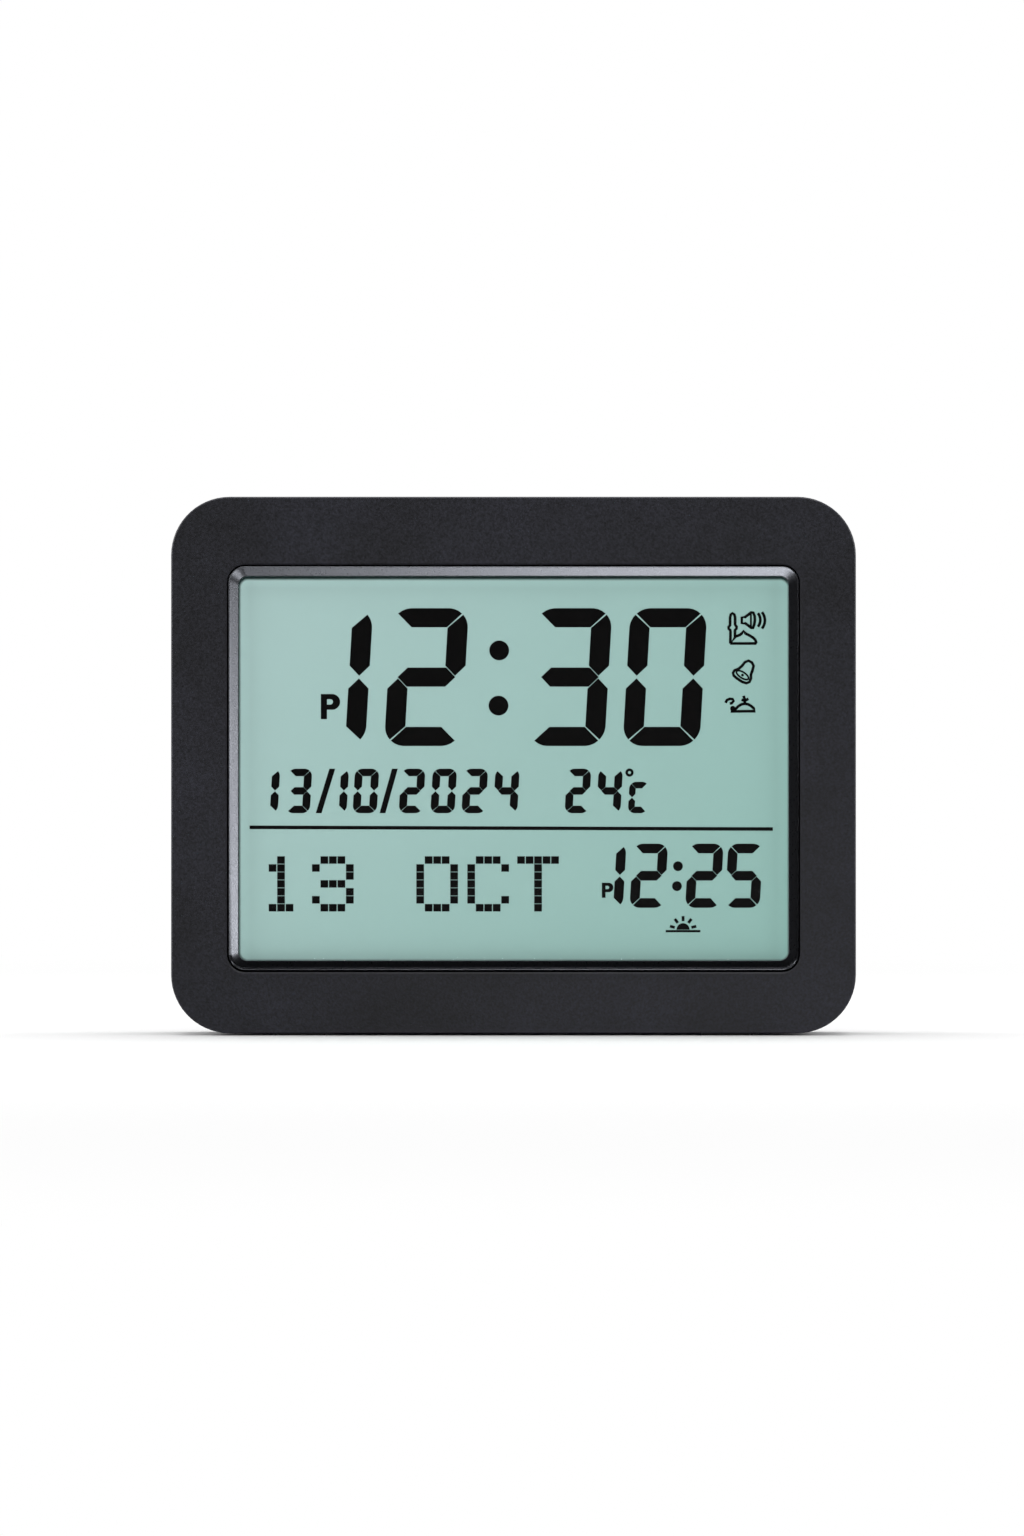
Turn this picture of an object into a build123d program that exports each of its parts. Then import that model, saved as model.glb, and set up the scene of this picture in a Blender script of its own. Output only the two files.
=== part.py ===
from build123d import *
import math
import os

os.makedirs("parts", exist_ok=True)

# Azan clock: a desk and wall clock with a large liquid crystal display, a speaker for
# the call to prayer and a battery bay. X runs to the reader's right, Y to the back and
# Z up. The origin is on the table, under the middle of the case. Millimetres.

# Front: the display window, its trim ring and the borders of the case round them
window_width = 192.6
window_height = 134.6
window_corner = 2.2
trim_width = 3.7
side_border = 20.0
top_border = 24.2
bottom_border = 21.8
body_corner = 20.5
wall = 2.2
bezel_depth = 13.2
bezel_edge = 0.45
opening_edge = 0.5
opening_edge_depth = 0.2
foot_height = 0.8

# Trim ring: a raised bevel with a flange behind the bezel
trim_rise = 1.8
trim_step = 0.5
trim_crest = 0.5
trim_gap = 0.4
flange_margin = 3.0
flange_thickness = 1.2

# Display sandwich, from the clear window to the circuit board
window_recess = 1.3
window_thickness = 1.5
window_lap = 1.0
display_fit = 0.15
polarizer_thickness = 0.2
lcd_margin = 3.7
glass_thickness = 1.1
contact_ledge = 3.0
reflector_thickness = 0.2
reflector_margin = 1.0
guide_thickness = 2.5
led_strip_thickness = 1.2
led_depth = 0.8
led_gap = 0.2
led_count = 5
led_spacing = 22.0
led_height = 3.0
led_strip_length = 110.0
holder_floor = 1.1
strip_height = 2.0
strip_end = 4.0
strip_fit = 0.1
board_thickness = 1.6
board_margin = 0.5
ear_width = 9.0
ear_thickness = 2.0
ear_rise = 39.0
wiring_room = 3.2

# Case screws and the bosses that they join
case_screw_inset = 10.5
case_screw_drop = 15.0
case_screw_radius = 1.5
case_head_radius = 3.0
case_head_height = 2.4
case_screw_grip = 6.0
boss_radius = 4.5
pilot_fit = 0.05
screw_hole_fit = 0.2
head_fit = 0.3
tip_room = 1.0
front_skin = 2.0
tongue_thickness = 1.0
tongue_height = 1.5
tongue_root = 2.0
tongue_fit = 0.1

# Small screws for the display holder and the circuit boards
small_screw_radius = 1.1
small_head_radius = 2.1
small_head_height = 1.4
holder_boss_radius = 3.5
holder_screw_bite = 3.0
board_screw_bite = 2.4
board_screw_rise = 40.0
small_tip_room = 0.3
post_radius = 3.0
post_inset = 4.0

# Rear cover
cover_step = 0.5
rear_edge = 3.0

# Batteries, their bay and its hinged door
cell_length = 50.5
cell_radius = 7.25
cell_nub_radius = 2.75
cell_nub_length = 1.0
cell_gap = 0.7
cell_count = 3
cell_clearance = 0.3
contact_room = 4.0
bay_lift = 21.5
bay_wall = 1.6
bay_floor = 1.5
cradle_height = 3.6
cradle_thickness = 1.6
cradle_spread = 30.0
door_thickness = 2.4
door_lap = 1.75
door_hinge_drop = 4.0
door_gap = 0.35
door_seat_gap = 0.1
door_corner = 2.0
door_pin_radius = 0.7
door_pin_length = 2.0
door_latch_width = 14.0
door_latch_length = 9.0
door_slit = 1.0
door_bump = 0.25
grip_groove = 0.8
grip_spacing = 2.0
collar_wall = 1.5
collar_depth = 2.2
pin_fit = 0.08
pin_end_room = 0.2

# Battery contacts
contact_sheet = 0.4
contact_width = 9.0
contact_height = 8.0
contact_leaf_width = 4.0
contact_gap = 0.2
tab_height = 2.4
tab_length = 1.5
tab_fit = 0.1

# Kickstand, folded into a groove round the battery door
stand_wall = 4.65
stand_gap = 0.5
stand_arm = 7.0
stand_bar = 7.0
stand_thickness = 4.5
stand_sink = 0.2
stand_floor_gap = 0.8
stand_foot_rise = 5.3
stand_foot_gap = 1.0
stand_corner = 7.0
stand_pivot_lift = 11.75
stand_pin_radius = 2.0
stand_pin_length = 2.5
pivot_boss_wall = 3.5
pivot_boss_height = 10.0
groove_wall = 2.0
notch_width = 20.0
pad_length = 60.0
pad_width = 3.0
pad_depth = 0.6
pad_proud = 0.4

# Control panel: six keys, a three-position volume slide and a reset button
panel_inset = 44.0
panel_rise = 12.7
panel_width = 44.0
panel_height = 84.0
panel_recess = 2.0
panel_corner = 3.0
key_names = ["set_key", "mode_key", "up_key", "down_key", "azan_key", "light_key"]
key_width = 14.0
key_height = 7.0
key_corner = 1.0
key_edge = 0.4
key_proud = 1.0
key_spacing = 13.0
key_offset = 9.0
key_gap = 0.3
key_flange = 1.3
key_flange_thickness = 1.2
key_stem = 3.0
key_travel = 0.8
key_room = 2.5
retainer_gap = 0.1
switch_size = 6.0
switch_height = 4.4
stem_entry = 0.4
stem_end_room = 0.8
stem_fit = 0.1
side_offset = -12.0
slider_rise = 22.0
slider_travel = 2.5
slider_knob_width = 6.0
slider_knob_height = 5.0
slider_knob_proud = 1.5
slider_neck_width = 2.8
slider_neck_height = 3.0
slider_plate_width = 7.0
slider_plate_thickness = 1.0
slider_lap = 0.5
slider_stem = 1.8
slide_gap = 0.3
slide_body_width = 8.0
reset_drop = 26.0
reset_radius = 1.3
reset_sink = 0.4
reset_flange_radius = 2.4
reset_stem_radius = 1.0

# Circuit board behind the panel and what is soldered to it
board_width = 52.0
board_top_room = 1.5
board_foot = 10.0
jack_rise = 39.2
jack_size = 9.0
jack_length = 13.7
jack_height = 10.0
jack_nose_radius = 3.8
jack_nose_length = 2.0
jack_bore_radius = 2.85
jack_bore_depth = 9.5
jack_pin_radius = 1.0
jack_wall_gap = 0.3
jack_tab_end = 5.0
jack_tab_height = 18.0
chip_size = 14.0
chip_height = 1.8
chip_rise = 25.0
sound_chip_width = 8.0
sound_chip_height = 11.0
crystal_radius = 1.0
crystal_length = 6.0
capacitor_radius = 3.2
capacitor_height = 8.0
capacitor_spacing = 9.0
sensor_size = 4.0
sensor_leg = 3.2
sensor_leg_radius = 0.5
sensor_offset = 20.0
sensor_rise = 24.0
vent_length = 14.0
vent_width = 1.6
vent_spacing = 3.5
vent_count = 5

# Speaker behind its grille
speaker_inset = 48.0
speaker_rise = 23.2
speaker_radius = 25.0
speaker_rim = 4.0
speaker_sheet = 0.8
speaker_back_radius = 11.5
speaker_basket_depth = 7.2
gasket_thickness = 0.8
gasket_width = 3.4
cone_sheet = 0.4
cone_lap = 1.0
cone_depth = 4.2
cap_radius = 7.0
cap_rise = 1.6
magnet_radius = 11.0
magnet_thickness = 5.0
speaker_fit = 0.2
speaker_rib = 1.6
speaker_clip_lap = 1.0
speaker_clip_width = 8.0
speaker_clip_thickness = 1.0
speaker_clip_count = 3
grille_radius = 20.0
grille_slot = 2.0
grille_spacing = 4.0
grille_rows = 4
grille_bridge = 2.0
grille_bridge_spread = 13.0
tag_width = 8.0
tag_length = 3.0
tag_thickness = 1.2

# Keyhole slots for hanging the clock on two wall screws
hanger_spacing = 120.0
hanger_drop = 28.8
hanger_entry_radius = 4.5
hanger_slot_width = 4.4
hanger_slot_rise = 8.0
hanger_pocket_depth = 5.0
hanger_pocket_side = 2.0
hanger_pocket_wall = 1.5

# Feet
foot_length = 18.0
foot_width = 8.0
foot_pocket = 0.8
foot_fit = 0.1
foot_inset = 45.0
rear_foot_setback = 8.0

# Wiring inside the case
lead_radius = 0.7
lead_reach = 5.5
ribbon_width = 24.0
ribbon_thickness = 0.3
ribbon_rise = 32.0
ribbon_reach = 6.0
connector_height = 4.0
connector_thickness = 1.6
connector_lap = 1.0

# Overall sizes that follow from the front
trim_outer_width = window_width + 2 * trim_width
trim_outer_height = window_height + 2 * trim_width
trim_corner = window_corner + trim_width
body_width = trim_outer_width + 2 * side_border
body_height = trim_outer_height + top_border + bottom_border
half_width = body_width / 2
body_bottom = foot_height
body_top = body_bottom + body_height
body_z = body_bottom + body_height / 2
window_z = body_bottom + bottom_border + trim_outer_height / 2
flange_width = trim_outer_width + 2 * flange_margin
flange_height = trim_outer_height + 2 * flange_margin
flange_corner = trim_corner + flange_margin
lcd_width = window_width + 2 * lcd_margin
lcd_height = window_height + 2 * lcd_margin

# Depths, from the crest of the trim ring to the back of the case
lcd_stack = 2 * glass_thickness + reflector_thickness + guide_thickness
display_stack = wall + flange_thickness + lcd_stack + holder_floor + board_thickness
bay_depth = bay_floor + 2 * cell_clearance + 2 * cell_radius
total_depth = trim_rise + display_stack + wiring_room + bay_depth + door_thickness
crest_y = -total_depth / 2
rear_y = total_depth / 2
face_y = crest_y + trim_rise
bezel_inner_y = face_y + wall
parting_y = face_y + bezel_depth
rear_inner_y = rear_y - wall
window_front_y = crest_y + window_recess
window_back_y = window_front_y + window_thickness
flange_back_y = bezel_inner_y + flange_thickness
polarizer_front_y = flange_back_y - polarizer_thickness
glass_joint_y = flange_back_y + glass_thickness
glass_back_y = glass_joint_y + glass_thickness
guide_front_y = glass_back_y + reflector_thickness
guide_back_y = guide_front_y + guide_thickness
holder_back_y = guide_back_y + holder_floor
display_board_back_y = holder_back_y + board_thickness
panel_face_y = rear_y - panel_recess
panel_inner_y = panel_face_y - wall
key_flange_y = panel_inner_y - retainer_gap
key_back_y = key_flange_y - key_flange_thickness
switch_top_y = key_back_y - key_room
board_rear_y = switch_top_y - switch_height
board_front_y = board_rear_y - board_thickness
stem_tip_y = switch_top_y - stem_entry
bore_depth = stem_entry + key_travel + stem_end_room

# Places across the case
case_span_x = body_width - 2 * case_screw_inset
case_span_z = (body_height - 2 * case_screw_drop) / 2
cover_bottom = body_bottom + cover_step
cell_pitch = 2 * cell_radius + cell_gap
bay_half = cell_length / 2 + contact_room
bay_height = cell_count * cell_pitch + 2 * cell_clearance
bay_bottom = body_bottom + bay_lift
bay_z = bay_bottom + bay_height / 2
cell_y = rear_y - door_thickness - cell_clearance - cell_radius
bay_floor_y = cell_y - cell_radius - cell_clearance
door_half = bay_half + door_lap
door_inner_y = rear_y - door_thickness
door_bottom = bay_bottom - door_hinge_drop
door_top = bay_bottom + bay_height + door_lap
door_radius = door_thickness / 2
door_axis_y = rear_y - door_radius
door_axis_z = door_bottom + door_radius
door_seat_y = door_inner_y - door_seat_gap
groove_half_in = door_half + door_gap + stand_wall
arm_half_in = groove_half_in + stand_gap
arm_half_out = arm_half_in + stand_arm
groove_half_out = arm_half_out + stand_gap
pivot_z = door_top + stand_pivot_lift
stand_radius = stand_thickness / 2
stand_back_y = rear_y - stand_sink
stand_front_y = stand_back_y - stand_thickness
pivot_y = stand_back_y - stand_radius
groove_floor_y = stand_front_y - stand_floor_gap
stand_bottom = cover_bottom + stand_foot_rise
bar_top = stand_bottom + stand_bar
groove_bottom = stand_bottom - stand_foot_gap
groove_top = pivot_z + stand_radius + stand_gap
panel_x = half_width - panel_inset
panel_z = body_z + panel_rise
key_x = panel_x + key_offset
side_x = panel_x + side_offset
slider_z = panel_z + slider_rise
reset_z = panel_z - reset_drop
jack_z = body_bottom + jack_rise
board_bottom = jack_z - board_foot
board_top = panel_z + panel_height / 2 - board_top_room
board_height = board_top - board_bottom
board_z = (board_top + board_bottom) / 2
speaker_x = speaker_inset - half_width
speaker_z = body_z + speaker_rise
hanger_z = body_top - hanger_drop
side_inner_x = half_width - cover_step - wall
foot_x = half_width - foot_inset


def upright(y, x=0.0, z=0.0):
    """Plane that faces the reader: its own x and y are X and Z, and it extrudes forwards."""
    return Plane(origin=(x, y, z), x_dir=(1, 0, 0), z_dir=(0, -1, 0))


def across(x, y=0.0, z=0.0):
    """Plane that faces right: its own x and y are Y and Z, and it extrudes along X."""
    return Plane(origin=(x, y, z), x_dir=(0, 1, 0), z_dir=(1, 0, 0))


def level(x, z):
    """Horizontal plane through (x, z): its own x is X and its own y is Y."""
    return Plane(origin=(x, 0, z), x_dir=(1, 0, 0), z_dir=(0, 0, 1))


def outline(inset, mode=Mode.ADD):
    """Rounded outline of the case, drawn in by an inset all round."""
    return RectangleRounded(
        body_width - 2 * inset, body_height - 2 * inset, body_corner - inset, mode=mode
    )


def peg(radius, mode=Mode.ADD):
    """Eight-sided outline for a small hidden round, its radius measured to the flats."""
    return RegularPolygon(radius, 8, major_radius=False, rotation=22.5, mode=mode)


def hoop(radius, mode=Mode.ADD):
    """Outline of 24 sides for a wide hidden round, its radius measured to the flats."""
    return RegularPolygon(radius, 24, major_radius=False, mode=mode)


def keycap(gap):
    """Outline of a key with its corners cut off, drawn outwards by a gap all round."""
    with BuildSketch(mode=Mode.PRIVATE) as cap:
        Rectangle(key_width + 2 * gap, key_height + 2 * gap)
        chamfer(cap.vertices(), key_corner)
    return cap.sketch


def save(builder, name):
    """Label a finished piece and write its STEP file."""
    builder.part.label = name
    export_step(builder.part, f"parts/{name}.step")


def opening(margin):
    """Rounded outline of the bezel's opening for the trim ring, drawn outwards by a margin."""
    spread = trim_gap + margin
    return RectangleRounded(
        trim_outer_width + 2 * spread, trim_outer_height + 2 * spread, trim_corner + spread
    )


# Front bezel: moulded frame with a chamfered front edge, an opening with a shallow lead-in
# and a tongue that enters the cover
with BuildPart() as front_bezel:
    with BuildSketch(upright(parting_y, z=body_z)):
        outline(0)
    extrude(amount=bezel_depth)
    chamfer(front_bezel.faces().sort_by(Axis.Y)[0].edges(), bezel_edge)
    with BuildSketch(upright(parting_y, z=body_z)):
        outline(wall)
    extrude(amount=bezel_depth - wall, mode=Mode.SUBTRACT)
    with BuildSketch(upright(bezel_inner_y, z=window_z)):
        opening(0)
    extrude(amount=wall, mode=Mode.SUBTRACT)
    with BuildSketch(upright(face_y + opening_edge_depth, z=window_z)):
        opening(0)
    with BuildSketch(upright(face_y, z=window_z)):
        opening(opening_edge)
    loft(ruled=True, mode=Mode.SUBTRACT)
    tongue_outer = cover_step + wall + tongue_fit
    with BuildSketch(upright(parting_y, z=body_z)):
        outline(wall)
        outline(tongue_outer + tongue_thickness, mode=Mode.SUBTRACT)
    extrude(amount=tongue_root)
    with BuildSketch(upright(parting_y + tongue_height, z=body_z)):
        outline(tongue_outer)
        outline(tongue_outer + tongue_thickness, mode=Mode.SUBTRACT)
    extrude(amount=tongue_height)
    with BuildSketch(upright(parting_y, z=body_z)):
        with GridLocations(case_span_x, case_span_z, 2, 3):
            peg(boss_radius)
    extrude(amount=parting_y - bezel_inner_y)
    with BuildSketch(upright(parting_y, z=body_z)):
        with GridLocations(case_span_x, case_span_z, 2, 3):
            peg(case_screw_radius + pilot_fit)
    extrude(amount=bezel_depth - front_skin, mode=Mode.SUBTRACT)
    ear_front_y = holder_back_y - ear_thickness
    with BuildSketch(upright(ear_front_y, z=window_z)):
        with GridLocations(case_span_x, 2 * ear_rise, 2, 2):
            peg(holder_boss_radius)
    extrude(amount=ear_front_y - bezel_inner_y)
    with BuildSketch(upright(ear_front_y, z=window_z)):
        with GridLocations(case_span_x, 2 * ear_rise, 2, 2):
            peg(small_screw_radius + pilot_fit)
    extrude(amount=holder_screw_bite + small_tip_room, mode=Mode.SUBTRACT)
    front_foot_y = (face_y + parting_y) / 2
    with BuildSketch(level(0, body_bottom)):
        with Locations((-foot_x, front_foot_y), (foot_x, front_foot_y)):
            Rectangle(foot_length, foot_width)
    extrude(amount=foot_pocket, mode=Mode.SUBTRACT)
save(front_bezel, "front_bezel")

# Trim ring: glossy bevel that rises to the window, with a flange clamped behind the bezel
with BuildPart() as window_trim:
    with BuildSketch(upright(flange_back_y, z=window_z)):
        RectangleRounded(flange_width, flange_height, flange_corner)
    extrude(amount=flange_thickness)
    bevel_foot_y = face_y - trim_step
    with BuildSketch(upright(bezel_inner_y, z=window_z)):
        RectangleRounded(trim_outer_width, trim_outer_height, trim_corner)
    extrude(amount=bezel_inner_y - bevel_foot_y)
    with BuildSketch(upright(bevel_foot_y, z=window_z)):
        RectangleRounded(trim_outer_width, trim_outer_height, trim_corner)
    with BuildSketch(upright(crest_y, z=window_z)):
        RectangleRounded(
            window_width + 2 * trim_crest, window_height + 2 * trim_crest, window_corner + trim_crest
        )
    loft(ruled=True)
    with BuildSketch(upright(flange_back_y, z=window_z)):
        RectangleRounded(window_width, window_height, window_corner)
    extrude(amount=flange_back_y - crest_y, mode=Mode.SUBTRACT)
    with BuildSketch(upright(flange_back_y, z=window_z)):
        Rectangle(window_width + 2 * window_lap, window_height + 2 * window_lap)
    extrude(amount=flange_back_y - window_front_y, mode=Mode.SUBTRACT)
save(window_trim, "window_trim")

# Display window: clear acrylic pane dropped into the trim ring from behind
pane_lap = window_lap - display_fit
with BuildPart() as display_window:
    with BuildSketch(upright(window_back_y, z=window_z)):
        Rectangle(window_width + 2 * pane_lap, window_height + 2 * pane_lap)
    extrude(amount=window_thickness)
save(display_window, "display_window")

# Foam spacer that seals the gap between the pane and the display, hidden by the trim's lip
with BuildPart() as window_gasket:
    with BuildSketch(upright(polarizer_front_y, z=window_z)):
        Rectangle(window_width + 2 * pane_lap, window_height + 2 * pane_lap)
        Rectangle(
            window_width + 2 * display_fit, window_height + 2 * display_fit, mode=Mode.SUBTRACT
        )
    extrude(amount=polarizer_front_y - window_back_y)
save(window_gasket, "window_gasket")

# Liquid crystal sandwich: polarizer, two glasses with contact ledges, reflector
with BuildPart() as lcd_polarizer:
    with BuildSketch(upright(flange_back_y, z=window_z)):
        Rectangle(window_width + 2 * pane_lap, window_height + 2 * pane_lap)
    extrude(amount=polarizer_thickness)
save(lcd_polarizer, "lcd_polarizer")

with BuildPart() as lcd_front_glass:
    with BuildSketch(upright(glass_joint_y, z=window_z)):
        Rectangle(lcd_width, lcd_height)
    extrude(amount=glass_thickness)
save(lcd_front_glass, "lcd_front_glass")

rear_glass_height = lcd_height - 2 * contact_ledge
with BuildPart() as lcd_rear_glass:
    with BuildSketch(upright(glass_back_y, z=window_z)):
        Rectangle(lcd_width, rear_glass_height)
    extrude(amount=glass_thickness)
save(lcd_rear_glass, "lcd_rear_glass")

reflector_width = lcd_width - 2 * reflector_margin
reflector_height = rear_glass_height - 2 * reflector_margin
with BuildPart() as lcd_reflector:
    with BuildSketch(upright(guide_front_y, z=window_z)):
        Rectangle(reflector_width, reflector_height)
    extrude(amount=reflector_thickness)
save(lcd_reflector, "lcd_reflector")

# Light guide: clear slab with a row of lamps along its left edge
led_room = led_strip_thickness + led_depth + led_gap
with BuildPart() as light_guide:
    with BuildSketch(upright(guide_back_y, led_room / 2, window_z)):
        Rectangle(reflector_width - led_room, reflector_height)
    extrude(amount=guide_thickness)
save(light_guide, "light_guide")

with BuildPart() as backlight_board:
    with BuildSketch(upright(guide_back_y, (led_strip_thickness - reflector_width) / 2, window_z)):
        Rectangle(led_strip_thickness, led_strip_length)
    extrude(amount=guide_thickness)
    led_x = led_strip_thickness + (led_depth - reflector_width) / 2
    with BuildSketch(upright(guide_back_y, led_x, window_z)):
        with GridLocations(led_depth, led_spacing, 1, led_count):
            Rectangle(led_depth, led_height)
    extrude(amount=guide_thickness)
save(backlight_board, "backlight_board")

# Display holder: tray that presses the sandwich into the trim ring, screwed on by four ears
contact_z = (lcd_height - contact_ledge) / 2
strip_length = lcd_width - 2 * strip_end
board_screw_x = (flange_width + reflector_width) / 4
with BuildPart() as lcd_holder:
    with BuildSketch(upright(holder_back_y, z=window_z)):
        Rectangle(flange_width, flange_height)
    extrude(amount=holder_back_y - flange_back_y)
    with BuildSketch(upright(holder_back_y, z=window_z)):
        with Locations((0, ear_rise), (0, -ear_rise)):
            Rectangle(case_span_x + ear_width, ear_width)
    extrude(amount=ear_thickness)
    with BuildSketch(upright(guide_back_y, z=window_z)):
        Rectangle(reflector_width + 2 * display_fit, reflector_height + 2 * display_fit)
    extrude(amount=guide_back_y - flange_back_y, mode=Mode.SUBTRACT)
    with BuildSketch(upright(glass_back_y, z=window_z)):
        Rectangle(lcd_width + 2 * display_fit, lcd_height + 2 * display_fit)
    extrude(amount=glass_back_y - flange_back_y, mode=Mode.SUBTRACT)
    with BuildSketch(upright(holder_back_y, z=window_z)):
        with Locations((0, contact_z), (0, -contact_z)):
            Rectangle(strip_length + 2 * strip_fit, strip_height + 2 * strip_fit)
        with GridLocations(case_span_x, 2 * ear_rise, 2, 2):
            peg(small_screw_radius + screw_hole_fit)
    extrude(amount=holder_back_y - flange_back_y, mode=Mode.SUBTRACT)
    with BuildSketch(upright(holder_back_y, z=window_z)):
        with GridLocations(2 * board_screw_x, 2 * board_screw_rise, 2, 2):
            peg(small_screw_radius + pilot_fit)
    extrude(amount=board_screw_bite + small_tip_room, mode=Mode.SUBTRACT)
save(lcd_holder, "lcd_holder")

# Conductive rubber strips that carry the display's signals from the glass to the board
for name, side in [("zebra_strip_upper", 1), ("zebra_strip_lower", -1)]:
    with BuildPart() as zebra_strip:
        with BuildSketch(upright(holder_back_y, z=window_z + side * contact_z)):
            Rectangle(strip_length, strip_height)
        extrude(amount=holder_back_y - glass_joint_y)
    save(zebra_strip, name)

with BuildPart() as display_board:
    with BuildSketch(upright(display_board_back_y, z=window_z)):
        Rectangle(flange_width - 2 * board_margin, flange_height - 2 * board_margin)
        with GridLocations(2 * board_screw_x, 2 * board_screw_rise, 2, 2):
            peg(small_screw_radius + screw_hole_fit, mode=Mode.SUBTRACT)
    extrude(amount=board_thickness)
save(display_board, "display_board")

with BuildPart() as holder_screws:
    with BuildSketch(upright(holder_back_y + small_head_height, z=window_z)):
        with GridLocations(case_span_x, 2 * ear_rise, 2, 2):
            peg(small_head_radius)
    extrude(amount=small_head_height)
    with BuildSketch(upright(holder_back_y, z=window_z)):
        with GridLocations(case_span_x, 2 * ear_rise, 2, 2):
            peg(small_screw_radius)
    extrude(amount=ear_thickness + holder_screw_bite)
save(holder_screws, "holder_screws")

# Shapes that the rear cover shares with the pieces it carries
panel_plane = upright(panel_face_y, panel_x, panel_z)
slot_height = slider_neck_height + 2 * (slider_travel + slide_gap)
hanger_pocket_width = 2 * (hanger_entry_radius + hanger_pocket_side)
hanger_pocket_height = hanger_pocket_width + hanger_slot_rise
clip_ring_radius = speaker_radius + speaker_fit
rim_front_y = rear_inner_y - gasket_thickness - speaker_sheet
clip_front_y = rim_front_y - speaker_fit - speaker_clip_thickness
jack_y = board_rear_y + jack_height / 2
tab_y = cell_y - cell_radius / 2
tab_opening = tab_height + 2 * tab_fit
upper_cell_z = bay_z + cell_pitch
lower_cell_z = bay_z - cell_pitch

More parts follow.
